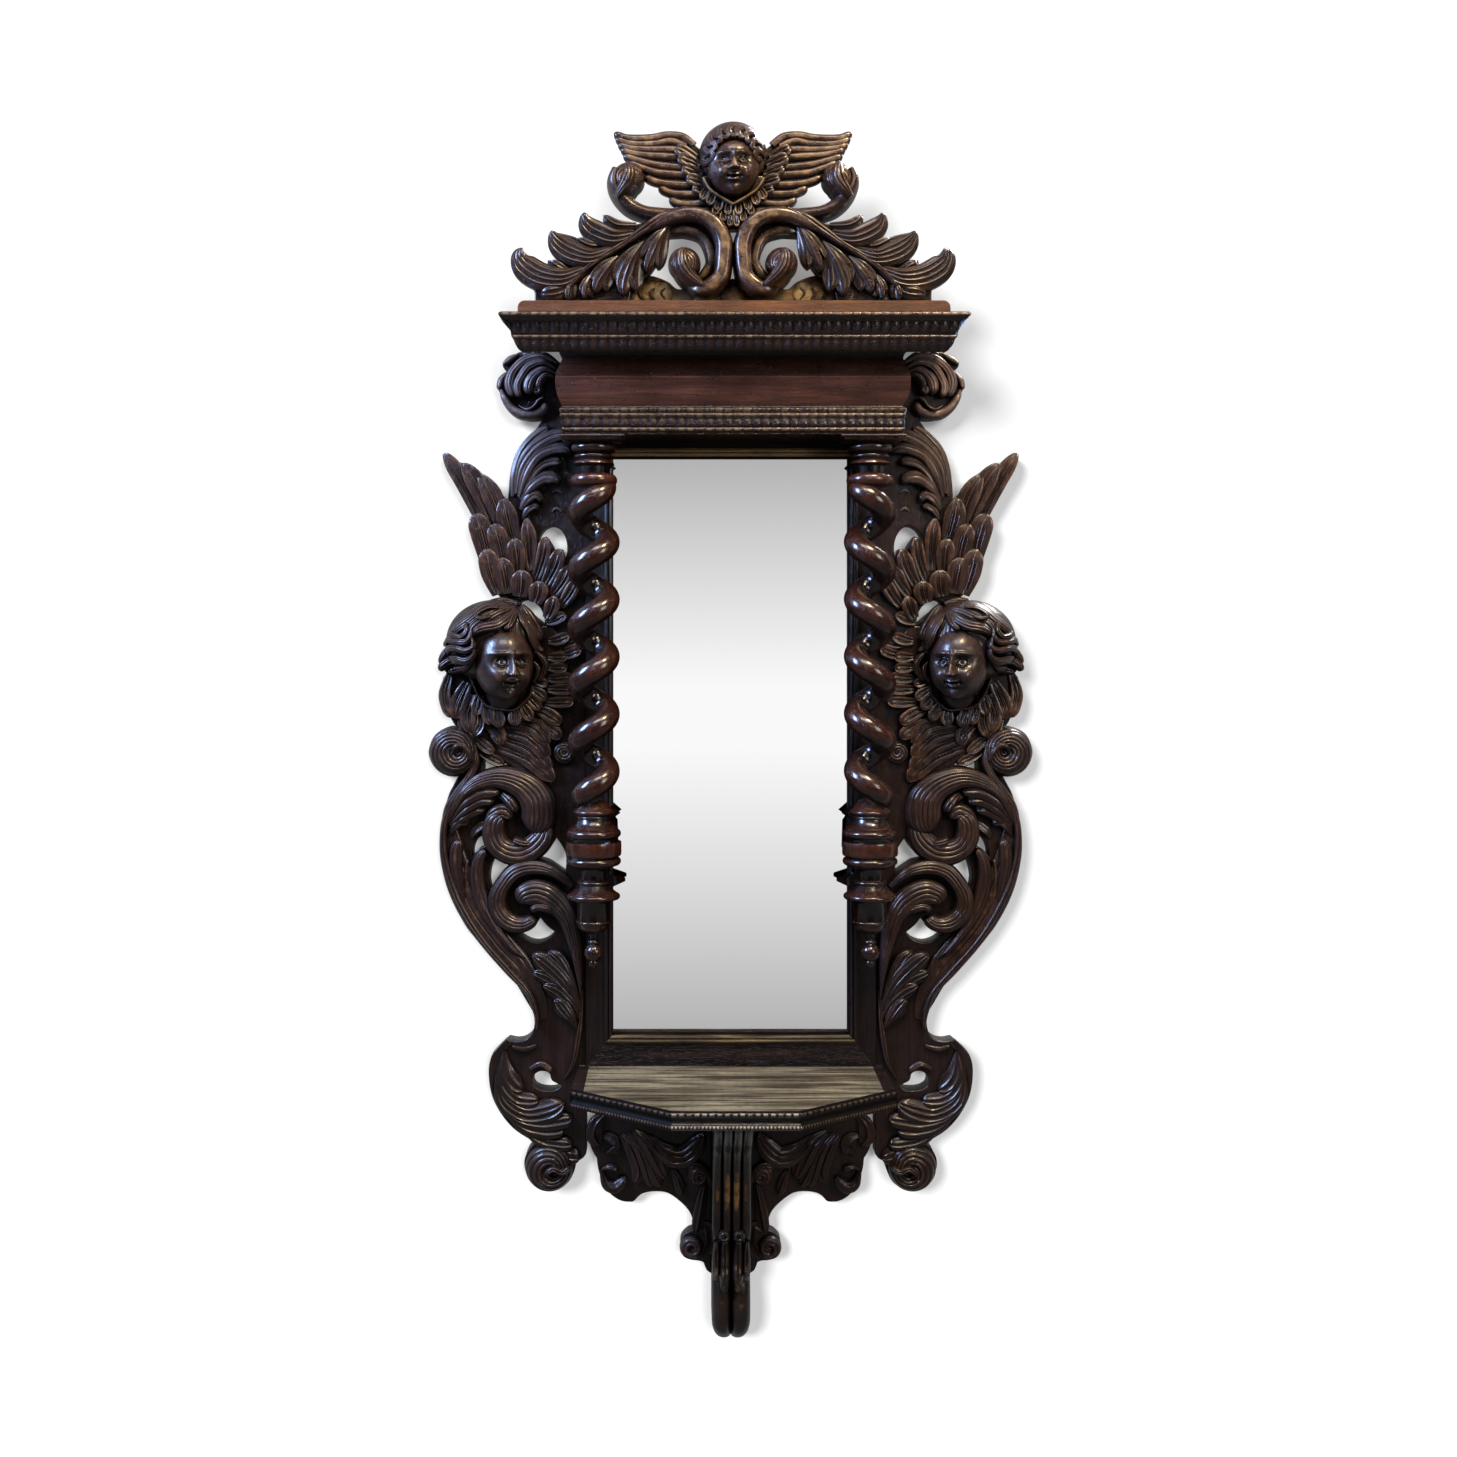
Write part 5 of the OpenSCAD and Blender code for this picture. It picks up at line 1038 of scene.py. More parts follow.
CREST_RUFF = [([(31, 197), (34, 190), (38, 183)], 6, 0), ([(23, 191), (26, 184), (29, 176)], 6, 1),
              ([(14, 185), (17, 177), (18, 169)], 6, 0), ([(5, 181), (6, 172), (7, 164)], 5, 1),
              ([(19, 178), (21, 171), (21, 164)], 5, -1), ([(10, 172), (12, 164), (12, 156)], 5, -1),
              ([(3, 166), (4, 158), (4, 150)], 4, -1)]
CREST_COLLAR = [(36, 207), (28, 194), (17, 186), (7, 180), (0, 176)]
CREST_LEAVES = [
    leaf(2, 5.5, 11, (115, 153, 4.1), (135, 152, 6.8), (147, 157, 6.8), (153, 165, 5.4)),
    leaf(2, 5.5, 11, (153, 128, 4.1), (169, 128, 6.8), (179, 132, 6.8), (186, 137, 5.4)),
    leaf(2, 5.5, 11, (193, 96, 4.1), (208, 103, 6.8), (219, 110, 6.8)),
    leaf(4, 8.8, 16.5, (117, 143, 5.4), (140, 137, 10.8), (160, 143, 13.5), (174, 153, 10.8),
         (178, 167, 2.7)),
    leaf(5, 8.8, 16.5, (144, 124, 5.4), (169, 114, 10.8), (193, 120, 14.9), (209, 131, 12.2),
         (217, 145, 2.7)),
    leaf(5, 8.8, 16.5, (173, 102, 5.4), (200, 89, 12.2), (226, 91, 16.2), (246, 102, 16.2),
         (254, 114, 10.8), (251, 126, 4.1)),
    leaf(3, 6.6, 13.2, (191, 80, 4.1), (209, 73, 9.5), (229, 71, 9.5))]
CREST_FRONDS = [
    leaf(2, 6.6, 14.3, (77, 152, 4.1), (88, 134, 10.8), (97, 114, 12.2), (104, 97, 6.8)),
    leaf(2, 7.7, 15.4, (106, 133, 4.1), (120, 111, 12.2), (129, 87, 16.2), (131, 69, 10.8)),
    leaf(2, 6.6, 14.3, (137, 116, 4.1), (149, 100, 12.2), (160, 84, 12.2), (164, 72, 8.1)),
    leaf(2, 6.6, 13.2, (167, 96, 4.1), (174, 80, 8.1), (177, 64, 5.4)),
    leaf(2, 7, 13, (189, 88, 4), (194, 76, 9), (196, 62, 7))]
CREST_RIB = [
    leaf(2, 10, 20, (57, 171, 5), (82, 163, 8), (107, 147, 7), (129, 131, 5), (157, 114, 5), (180, 96, 4),
         (195, 78, 3))]

# Shelf and brackets; the edge's rows are out from its outer line, up from its top, bead depth.
SHELF_EDGE = [
    (-8.6, -21, 0), (-8.6, 0, 0), (-2.5, 0, 0), (-1, -0.6, 0.8), (0, -2.2, 1.2), (-0.6, -4, 1),
    (-1.8, -4.8, 0), (-4, -6.5, 0), (-5, -9.5, 0), (-4.4, -12.5, 0), (-2.6, -14.4, 0), (-1.2, -15, 0.6),
    (0, -17, 1.2), (-1.2, -19, 0.6), (-3, -19.8, 0), (-4, -21, 0)]
APRON_EDGE = [
    (170, -890), (169, -932), (171, -941), (177, -953), (178, -968), (173, -983), (168, -991), (168, -991),
    (166, -1006), (160, -1023), (150, -1037), (137, -1045), (123, -1046), (119, -1043), (119, -1043),
    (111, -1036), (96, -1033), (79, -1035), (63, -1046), (52, -1058), (47, -1071), (45, -1081), (45, -1081),
    (54, -1084), (62, -1093), (63, -1104), (59, -1114), (50, -1119), (40, -1120), (34, -1122), (34, -1122),
    (30, -1132), (24, -1136), (24, -1136), (24, -890), (24, -890)]
APRON_LEAVES = [
    leaf(2, 4.6, 10.3, (159, -936, 3.4), (168, -946, 9.2), (171, -961, 10.3), (163, -974, 8)),
    leaf(1, 4.6, 9.2, (160, -961, 3.4), (148, -965, 5.8), (142, -975, 4.6), (152, -981, 3.4)),
    leaf(2, 4.6, 8, (137, -961, 3.4), (123, -981, 8), (115, -1006, 9.2), (121, -1021, 6.9)),
    leaf(3, 4, 9, (130, -960, 3.4), (113.5, -979, 8), (104, -1002, 9.2), (99, -1025, 6)),
    leaf(3, 4.6, 10.3, (121, -957, 3.4), (102, -973, 10.3), (90, -994, 11.5), (81, -1015, 9.2)),
    leaf(2, 4.6, 10.3, (106, -986, 3.4), (98, -1004, 6.9), (88, -1025, 8)),
    leaf(2, 6.9, 12.6, (162, -1004, 2.3), (156, -1021, 5.8), (144, -1025, 6.9), (131, -1013, 5.8)),
    leaf(4, 4.6, 10.3, (102, -963, 3.4), (83, -982, 11.5), (61, -988, 13.8), (42, -973, 11.5),
         (35, -957, 4.6)),
    leaf(3, 4.6, 9.2, (25, -1027, 2.3), (30, -1010, 5.8), (42, -1002, 8), (55, -1004, 6.9)),
    leaf(1, 3.4, 6.9, (46, -1083, 3.4), (30, -1075, 5.8), (25, -1095, 6.9), (36, -1116, 5.8)),
    leaf(0, 4, 8, (161, -1004, 1.5), (151, -1000, 3), (140, -1005, 3)),
    leaf(1, 4, 8, (143, -973, 1.5), (141, -981, 3.4), (150, -981, 3.4), (156, -987, 2, 7)),
    leaf(2, 4, 9, (31, -1018, 3), (36, -1042, 7), (40, -1066, 8), (44, -1084, 5, 6)),
    leaf(2, 4, 8, (74, -1000, 2), (66, -1018, 6), (60, -1036, 6))]
CONSOLE = [
    (0, -890), (150, -890), (150, -890), (156, -900), (150, -918), (128, -940), (104, -960), (88, -985),
    (78, -1012), (74, -1040), (76, -1062), (70, -1078), (70, -1078), (62, -1084), (52, -1096), (50, -1112),
    (54, -1124), (48, -1136), (48, -1136), (53, -1150), (55, -1172), (49, -1196), (36, -1210), (20, -1214),
    (0, -1212)]


def dome(centre, radii, depth):
    """The front of an ellipsoid above the wall, for locks that lie on it."""

    def height(u, z):
        inside = 1 - ((u - centre[0]) / radii[0]) ** 2 - ((z - centre[1]) / radii[2]) ** 2
        return depth + radii[1] * np.sqrt(np.clip(inside, 0.0, 1))

    return height


def face(work, centre, radii, yaw):
    """A calm child's face of the carver's own pattern, with round cheeks, on plain proportions."""
    lat = np.radians(np.linspace(-86, 86, 190))[:, None]
    lon = np.radians(np.linspace(-180, 180, 281))[:-1][None]
    x, y, z = np.cos(lat) * np.sin(lon), -np.cos(lat) * np.cos(lon), np.sin(lat) + 0 * lon
    front = np.clip(-y * 3, 0, 1)

    def spot(px, pz, sx, sz):
        return np.exp(-((x - px) / sx) ** 2 - ((z - pz) / sz) ** 2) * front

    push = 0.03 * spot(0, 0.52, 0.6, 0.3)
    # dark is painted shade in creases: round each eye, in the nostrils and between the lips.
    dark = np.zeros_like(push)
    for s in (-1, 1):
        # Cheek, socket, brow, eyeball between its lids, nostril and corner of the mouth.
        push += 0.14 * spot(0.44 * s, -0.36, 0.28, 0.26)
        push -= 0.22 * spot(0.35 * s, 0.04, 0.23, 0.15)
        push += 0.08 * spot(0.36 * s, 0.24, 0.26, 0.06)
        eye = ((x - 0.35 * s) / 0.17) ** 2 + ((z - 0.02) / 0.1) ** 2
        push += 0.14 * np.sqrt(np.clip(1 - eye, 0, 1)) * front
        push += 0.07 * np.exp(-((np.sqrt(eye) - 1.2) / 0.14) ** 2) * front
        push -= 0.05 * spot(0.35 * s, 0.02, 0.045, 0.04)
        push += 0.1 * spot(0.12 * s, -0.25, 0.06, 0.055)
        push -= 0.07 * spot(0.25 * s, -0.5, 0.06, 0.06)
        dark += 0.6 * np.exp(-((np.sqrt(eye) - 1.0) / 0.1) ** 2) * front
        dark += 0.5 * spot(0.08 * s, -0.31, 0.04, 0.03)
    bridge = np.clip((0.26 - z) / 0.5, 0, 1) * (z > -0.3)
    ridge = np.exp(-(x / (0.07 + 0.05 * bridge)) ** 2) * front * np.clip((z + 0.32) * 12, 0, 1) * (z < 0.34)
    push += (0.05 + 0.22 * bridge) * ridge
    # Lips, the line between them and the hollow below, chin.
    push += 0.09 * spot(0, -0.44, 0.17, 0.04) + 0.1 * spot(0, -0.57, 0.14, 0.05)
    push -= 0.1 * spot(0, -0.5, 0.2, 0.02) + 0.08 * spot(0, -0.67, 0.18, 0.045)
    push += 0.13 * spot(0, -0.82, 0.2, 0.13)
    dark += 0.7 * spot(0, -0.5, 0.18, 0.025)
    scale = 1 + push
    local = np.stack([x * radii[0] * scale, y * radii[1] * (1 + push * 1.35), z * radii[2] * scale], -1)
    c, s = math.cos(yaw), math.sin(yaw)
    turn = np.array([[c, -s, 0], [s, c, 0], [0, 0, 1]])
    # What stands out is rubbed lighter, and the sockets and creases are darker, as painted shade.
    rub_and_painted_light = np.clip(0.4 + push * 2.8 - dark, 0.05, 0.95)
    work.tube(local @ turn.T + np.array(centre), rub_and_painted_light)


def head_mass(work, centre, radii, depth, part, strands, wave, height):
    """The mass of hair: a dome whose strands run out from a parting in waves."""
    sides = 240
    r = np.linspace(0, 1, 70)[:, None] ** 0.8
    a = np.linspace(0, 2 * np.pi, sides + 1)[:-1][None]
    x, z = radii[0] * r * np.cos(a), radii[2] * r * np.sin(a)
    px, pz = x - part[0], z - part[1]
    away = np.hypot(px, pz)
    way = np.arctan2(pz, px)
    phase = strands * way + 1.3 * np.sin(away / wave + 1.5 * np.sin(2 * way))
    ridge = 1 - np.abs(np.sin(phase / 2)) ** 0.8
    lift = height * ridge * np.clip(away / 8, 0.15, 1)
    y = -(depth + radii[1] * np.sqrt(np.clip(1 - r * r, 0, 1)) + lift * (1 - r**4) + 0 * a)
    rings = np.stack([centre[0] + x, y, centre[1] + z], -1)
    low = rings[-1:].copy()
    low[..., 1] = -(depth - 8)
    rub_and_painted_light = np.clip(0.1 + 0.6 * ridge, 0, 1)
    work.tube(np.concatenate([rings, low]), np.concatenate([rub_and_painted_light, np.zeros((1, sides))]))


# Operators, one for each piece or group of like pieces


def linked(name, *objects):
    """A collection for a lamp's light linking."""
    made = bpy.data.collections.new(name)
    for thing in objects:
        made.objects.link(thing)
    return made


class MIRROR_OT_joinery(bpy.types.Operator):
    """Finishes of the plain boards, the glass and the fittings"""

    bl_idname = "mirror.joinery"
    bl_label = "Boards, glass and fittings"

    def execute(self, context):
        dress("frame_upright", "left_stile", "right_stile")
        dress("frame_across", "top_rail", "bottom_rail", "entablature_core", "cornice_board", "cornice_bed",
              "shelf_cleats")
        dress("sight", "sight_bottom")
        dress("pale_sight", "sight_top")
        dress("frame_upright", "left_sight", "right_sight")
        dress("frieze", "frieze_front", "left_frieze_return", "right_frieze_return")
        dress("plinth", "pediment_plinth")
        dress("shelf", "shelf_board")
        dress("turned", "left_upper_block", "right_upper_block", "left_lower_block", "right_lower_block")
        dress("glass", "mirror_glass")
        dress("pine", "backboard")
        dress("steel", "hanging_plates")
        dress("iron", "backboard_screws", "hanging_screws")
        return {"FINISHED"}


class MIRROR_OT_mouldings(bpy.types.Operator):
    """Rippled cornice and architrave"""

    bl_idname = "mirror.mouldings"
    bl_label = "Cornice and architrave"

    def execute(self, context):
        pitch = context.scene.mirror_sizes.ripple * MM
        for name, profile, back in (("cornice", CORNICE, -corner("right_cornice_return", 1, 1)),
                                    ("architrave", ARCHITRAVE, FRAME_FRONT)):
            work = Carving()
            front_moulding(work, profile, pitch, CORE_HALF, CORE_FRONT)
            piece(f"{name}_front_carved", work, finish("rippled"), "dark_oak", f"{name}_front", sharp=70)
            work = Carving()
            return_moulding(work, profile, pitch, CORE_HALF, CORE_FRONT, back)
            pair(f"{name}_return", work, finish("rippled_return"), "dark_oak")
        return {"FINISHED"}


class MIRROR_OT_columns(bpy.types.Operator):
    """Twisted columns with their capitals and turned bases"""

    bl_idname = "mirror.columns"
    bl_label = "Columns"

    def execute(self, context):
        work = Carving()
        top = ARCHITRAVE_FOOT
        for grow, low, high in ((39, top - 3, top), (35, top - 6, top - 2.5)):
            block(work, (COLUMN_X - grow, -COLUMN_Y - grow, low), (COLUMN_X + grow, -COLUMN_Y + grow, high),
                  0.8)
        turned(work, COLUMN_X, COLUMN_Y, [(r, z + top) for r, z in self.capital()])
        turned(work, COLUMN_X, COLUMN_Y, [(r, z + SHAFT_FOOT) for r, z in self.base()])
        self.strand(work, context.scene.mirror_sizes)
        pair("column", work, finish("turned"), "polished_oak")
        return {"FINISHED"}

    def capital(self):
        """Rings of the capital, down from the architrave."""
        return [(0, -5), (25, -5), *arc(21.5, -12.5, 6, 80, -80, 8), (20, -20),
                *arc(21.5, -23, 2.5, 80, -80, 6), (21, -27), (24, -29), (25, -32), (17, -35), (16, -44),
                *arc(21, -52, 8, 110, -90, 8), (0, -61)]

    def base(self):
        """Rings, vase and drop finial, down from the foot of the twist."""
        return [(0, 14), (14, 10), (20, 2), *arc(22.5, -4, 3, 80, -80, 6), *arc(20, -10, 2, 80, -80, 6),
                (21, -14), (22.3, -16.5), (24, -19), (26.6, -21.4), (30, -23),
                *arc(28.5, -30, 5, 70, -80, 8), (28, -37), (28, -39), (33.5, -40), (34, -42), (34, -55),
                (33, -57), (29, -58), *arc(28.5, -64, 5, 70, -80, 8), (25, -70), (21, -71.6), (18, -74),
                (16.6, -77.4), (16, -81), (16, -86), *arc(17.5, -90, 2.5, 70, -70, 6), (19, -93),
                (22, -97), (25.4, -100.4), (29, -103), *arc(29, -107, 3.5, 60, -80, 6), (24, -111),
                (21.4, -112.6), (20, -115), (20, -136), *arc(20, -138, 1.8, 70, -70, 4), (20, -141),
                (19, -144.4), (17, -147), (12, -150.4), (6, -153), (5, -158),
                *arc(5, -163, 2.6, 80, -80, 6), *arc(0, -176, 11.5, 60, -60, 12),
                *arc(0, -189, 6, 40, -90, 8)]

    def strand(self, work, sizes):
        """The strand that winds down between them."""
        strand, helix = sizes.strand * MM, sizes.helix * MM
        steps, sides = int(sizes.turns * 40), 32
        i, b = np.arange(steps + 1)[:, None], np.linspace(0, 2 * np.pi, sides + 1)[:-1][None]
        fall = SHAFT_FOOT - SHAFT_TOP
        slope = math.atan(fall / (2 * math.pi * helix * sizes.turns))
        # It leaves the capital at this angle, and is thinner there and where it enters the base.
        a = np.radians(124 + 360 * sizes.turns * i / steps)
        thin = 0.55 + 0.45 * np.sin(np.pi / 2 * np.clip(np.minimum(i, steps - i) / 16, 0, 1))
        out, along = helix * thin**0.5 + strand * thin * np.cos(b), strand * thin * np.sin(b)
        spiral = np.stack([COLUMN_X + out * np.cos(a) + along * math.sin(slope) * np.sin(a),
                           -COLUMN_Y + out * np.sin(a) - along * math.sin(slope) * np.cos(a),
                           SHAFT_TOP + fall * i / steps + along * math.cos(slope)], -1)
        work.tube(spiral, np.broadcast_to(0.45 + 0.4 * np.cos(b), spiral.shape[:2]))


class MIRROR_OT_side_boards(bpy.types.Operator):
    """Pierced boards that the side carvings are cut from"""

    bl_idname = "mirror.side_boards"
    bl_label = "Side boards"

    def execute(self, context):
        work = Carving()
        holes = [smooth_line(hole, 3, True) for hole in SIDE_HOLES]
        # The board's flat ground is painted darker, as the shade behind the carving and column.
        pierced(work, smooth_line(SIDE_EDGE, 3), 0, BOARD, 0.22, holes)
        pair("side_board", work, finish("carved"), "carved_oak")
        return {"FINISHED"}


class MIRROR_OT_ear_scrolls(bpy.types.Operator):
    """Leaf scrolls beside the frieze and the leaf of the arch below"""

    bl_idname = "mirror.ear_scrolls"
    bl_label = "Ear scrolls"

    def execute(self, context):
        work = Carving()
        lobes(work, EAR_SCROLL)
        snail(work, (242, -28), 6.5, (241, -29), BOARD + 4, 13, reeds=2)
        leaves(work, ARCH_LEAVES, tip=1.2)
        # Crescent cuts of the gouge in the plain ground beside the leaf.
        for middle in (-152, -175):
            band(work, [(224, middle - 4, 0.5, 2), (218, middle, 2, 2.5), (211, middle - 4, 0.5, 2)])
        pair("ear_scroll", work, finish("ear"), "carved_oak")
        return {"FINISHED"}


class MIRROR_OT_main_scrolls(bpy.types.Operator):
    """Large volutes, small volute and long stem of each side"""

    bl_idname = "mirror.main_scrolls"
    bl_label = "Main scrolls"

    def execute(self, context):
        work = Carving()
        band(work, STEM_FLAT, square=4, lines=(-0.5, 0.1, 0.55))
        lobes(work, STEMS, groove=0.22)
        leaves(work, UPPER_LOBES)
        lobes(work, UPPER_SCROLL, square=3)
        leaves(work, LOWER_LOBES)
        lobes(work, LOWER_SCROLL, square=3)
        band(work, SIDE_STEM, reeds=2)
        band(work, NECK, reeds=3, groove=0.25)
        snail(work, (346, -480), 31, (342, -479), BOARD, 22, reeds=6, wind=3.0, start=200,
              groove=0.5, dish=0.25)
        lobes(work, NECK_CURL, BOARD + 8)
        pair("main_scroll", work, finish("carved"), "carved_oak")
        return {"FINISHED"}


class MIRROR_OT_foot_scrolls(bpy.types.Operator):
    """Leaf and volute at the foot of each side"""

    bl_idname = "mirror.foot_scrolls"
    bl_label = "Foot scrolls"

    def execute(self, context):
        work = Carving()
        leaves(work, FOOT_SCROLL, tip=1.4)
        snail(work, (227, -999), 30, (222, -1003), BOARD, 20, reeds=5, wind=3.0, start=60,
              groove=0.5, dish=0.3)
        lobes(work, FOOT_CURL, BOARD + 8)
        pair("foot_scroll", work, finish("carved"), "carved_oak")
        return {"FINISHED"}


class MIRROR_OT_wings(bpy.types.Operator):
    """Raised wings above the side heads"""

    bl_idname = "mirror.wings"
    bl_label = "Wings"

    def execute(self, context):
        work = Carving()
        pierced(work, smooth_line(WING_ROOT, 3, True), BOARD - 1, BOARD + 3)
        plumage(work, WING_FLIGHT, BOARD + 1, point=3.0)
        plumage(work, WING_FAN, BOARD + 1)
        plumage(work, WING_COVERTS, BOARD + 1, point=1.3)
        pair("wing", work, finish("carved"), "carved_oak")
        return {"FINISHED"}


class MIRROR_OT_collars(bpy.types.Operator):
    """Collar of feathers and lower wing below each side head"""

    bl_idname = "mirror.collars"
    bl_label = "Feather collars"

    def execute(self, context):
        work = Carving()
        pierced(work, smooth_line(COLLAR_GROUND, 3, True), BOARD - 1, BOARD + 3)
        plumage(work, COLLAR_FEATHERS, BOARD + 1)
        plumage(work, SIDE_FEATHERS, BOARD + 1, point=1.1)
        plumage(work, RUFF_FEATHERS, BOARD + 4, lean=3, point=1.1)
        band(work, RUFF_RIM, BOARD + 6, square=2.2)
        # A small rosette fills the corner beside the column.
        snail(work, (209, -481), 14, (208, -480), BOARD, 9, reeds=3, groove=0.5)
        pair("feather_collar", work, finish("carved"), "carved_oak")
        return {"FINISHED"}


class MIRROR_OT_side_heads(bpy.types.Operator):
    """Heads with wavy hair on the sides, turned to the glass"""

    bl_idname = "mirror.side_heads"
    bl_label = "Side heads"

    def execute(self, context):
        work = Carving()
        centre, radii, depth = (297, -342), (58, 44, 52), BOARD + 8
        head_mass(work, centre, radii, depth, (-28, 36), 26, 9.0, 1.5)
        lobes(work, HAIR, dome(centre, radii, depth), groove=0.42, square=2.2, tip=1.5, gap=1.6)
        # A ball under the chin, left nearly black as painted shade there.
        ball(work, (284, -BOARD - 6, -408), (22, 18, 22), 0.05)
        face(work, (281, -BOARD - 30, -368), (36, 36, 46), math.radians(-24))
        pair("cherub_head", work, finish("carved"), "carved_oak")
        return {"FINISHED"}


class MIRROR_OT_crest_scrolls(bpy.types.Operator):
    """Scrolls and acanthus leaves of the crest"""

    bl_idname = "mirror.crest_scrolls"
    bl_label = "Crest scrolls"

    def execute(self, context):
        work = Carving()
        pierced(work, smooth_line(CREST_EDGE, 3, True), CREST_BACK, CREST_BOARD, 0.1)
        leaves(work, CREST_LEAVES, CREST_BOARD - 1, groove=0.36)
        leaves(work, fanned(CREST_FRONDS, 13, 0.62), CREST_BOARD - 1, groove=0.4, tip=2.2)
        lobes(work, CREST_RIB, CREST_BACK + 8)
        band(work, CREST_STEP, CREST_BACK, square=3.2)
        band(work, CREST_C, CREST_BACK, square=3.6)
        band(work, CREST_HOOK, CREST_BACK, square=2.4, reeds=3, groove=0.12)
        for spot, eye, flap in (((58, 109), (60, 98), CREST_SWIRL), ((125, 210), (124, 199), CREST_FLAP)):
            # The reeds hood over a ball, and a small leaf turns out of its eye.
            snail(work, spot, 19.5, eye, CREST_BACK + 4, 38, reeds=5, start=-90, groove=0.5)
            band(work, flap, CREST_BACK, reeds=5, tip=0.8, groove=0.5, square=2.4)
        pair("crest_scroll", work, finish("crest"), "crest_oak")
        return {"FINISHED"}


class MIRROR_OT_crest_wings(bpy.types.Operator):
    """Wings beside the crest's head"""

    bl_idname = "mirror.crest_wings"
    bl_label = "Crest wings"

    def execute(self, context):
        work = Carving()
        pierced(work, smooth_line(CREST_WING, 3, True), CREST_BACK, CREST_BACK + 14, 0.1)
        for path in CREST_REEDS:
            band(work, [(x, z, 5.3, 7.5) for x, z in path], CREST_BACK + 11, square=2.5, tip=1.6)
        plumage(work, CREST_COVERTS, CREST_BACK + 14, lean=4, point=1.0, rim=0.4, shade=-0.2)
        pair("crest_wing", work, finish("crest"), "crest_oak")
        return {"FINISHED"}


class MIRROR_OT_crest_head(bpy.types.Operator):
    """Head of the crest, with its hair, curls and ruff of small feathers"""

    bl_idname = "mirror.crest_head"
    bl_label = "Crest head"

    def execute(self, context):
        work = Carving()
        neck = [(36, 212), (27, 184), (20, 167), (14, 149)]
        outline = [(-36, 212), *neck, *[(-x, z) for x, z in neck[:0:-1]]]
        pierced(work, outline, CREST_BACK, CREST_BACK + 20, 0.1)
        for s in (-1, 1):
            ruff = [([(s * x, z) for x, z in points], half, level) for points, half, level in CREST_RUFF]
            plumage(work, ruff, CREST_BACK + 20, lean=4, point=1.0)
            band(work, [(s * x, z, 2.6, 12) for x, z in CREST_COLLAR], CREST_BACK + 20, square=2.2, shade=0.2)
        band(work, [(0, 172, 5, 8), (0, 160, 9, 10), (0, 149, 5, 8)], CREST_BACK + 16, reeds=3, tip=1.2)
        cap, radii = (0, 237), (41, 40, 41)
        head_mass(work, cap, radii, CREST_BACK + 10, (0, 20), 30, 7.0, 1.0)
        self.curls(work, dome(cap, radii, CREST_BACK + 10))
        face(work, (0, -CREST_BACK - 26, 221), (31, 31, 36), 0.0)
        piece("crest_head_carved", work, finish("crest"), "crest_oak", "crest_head")
        return {"FINISHED"}

    def curls(self, work, lie):
        """Hooked curls all round the brow."""
        for turn in np.linspace(-84, 84, 9):
            spots = []
            for lean, grow in ((-3, 1.3), (-11, 1.1), (-9, 0.9), (0, 0.82), (7, 0.92), (5, 1.04), (-1, 1.02)):
                a = math.radians(turn + lean)
                spots.append((30 * grow * math.sin(a), 226 + 29 * grow * math.cos(a), 3.7, 7.5))
            band(work, spots, lie, reeds=2, square=2.2, tip=1.0, gap=1.2)


class MIRROR_OT_crest_ground(bpy.types.Operator):
    """Rough ground behind the crest's scrolls"""

    bl_idname = "mirror.crest_ground"
    bl_label = "Crest ground"

    def execute(self, context):
        work = Carving()
        half = smooth_line(CREST_GROUND, 3)
        whole = np.concatenate([half, half[-2::-1] * np.array([-1, 1])])
        pierced(work, whole, CREST_BACK - 12, CREST_BACK, 0.6)
        # Low rounded humps of the rockwork.
        for x, z, r in ((0, 72, 16), (34, 68, 14), (86, 76, 15), (104, 80, 14), (122, 72, 14), (138, 66, 10)):
            for s in (-1, 1)[:1 if x == 0 else 2]:
                ball(work, (s * x, -CREST_BACK + 2, z), (r, 7, r), 0.9)
        # Crescent cuts of the gouge: raised strips painted black, as painted shade in the cuts.
        for x in (84, 97, 110, 123, 136):
            for s in (-1, 1):
                cut = [(s * (x - 3), 82, 0.7, 1), (s * (x + 2), 76, 1.8, 2), (s * (x - 3), 69, 0.7, 1)]
                band(work, cut, CREST_BACK + 4, foot=6, shade=-1.0)
        piece("crest_ground_carved", work, finish("ground"), "crest_oak", "crest_ground")
        return {"FINISHED"}


class MIRROR_OT_shelf_edges(bpy.types.Operator):
    """Beaded mouldings round the shelf"""

    bl_idname = "mirror.shelf_edges"
    bl_label = "Shelf edges"

    def execute(self, context):
        # The moulding is as thick on the canted sides as in front, and meets the wall square.
        nose = np.array([corner("shelf_front", 0, 1), SHELF_DEPTH])
        inner = np.array([corner("right_shelf_side", 0, 1), -corner("right_shelf_side", 1, 1)])
        thick = SHELF_DEPTH + corner("shelf_board", 1, 0)
        reach, drop = inner[0] - nose[0], nose[1] - inner[1]
        cant = math.acos(thick / math.hypot(reach, drop)) - math.atan2(reach, drop)
        end = inner + (0, thick / math.cos(cant))
        mitre, butt = math.tan(cant / 2), -math.tan(cant)
        pitch = context.scene.mirror_sizes.bead * MM
        work = Carving()
        edge_moulding(work, nose * (-1, 1), nose, (mitre, mitre), pitch)
        piece("shelf_front_carved", work, finish("edge"), "dark_oak", "shelf_front")
        work = Carving()
        edge_moulding(work, nose, end, (mitre, butt), pitch)
        pair("shelf_side", work, finish("edge_side"), "dark_oak")
        return {"FINISHED"}


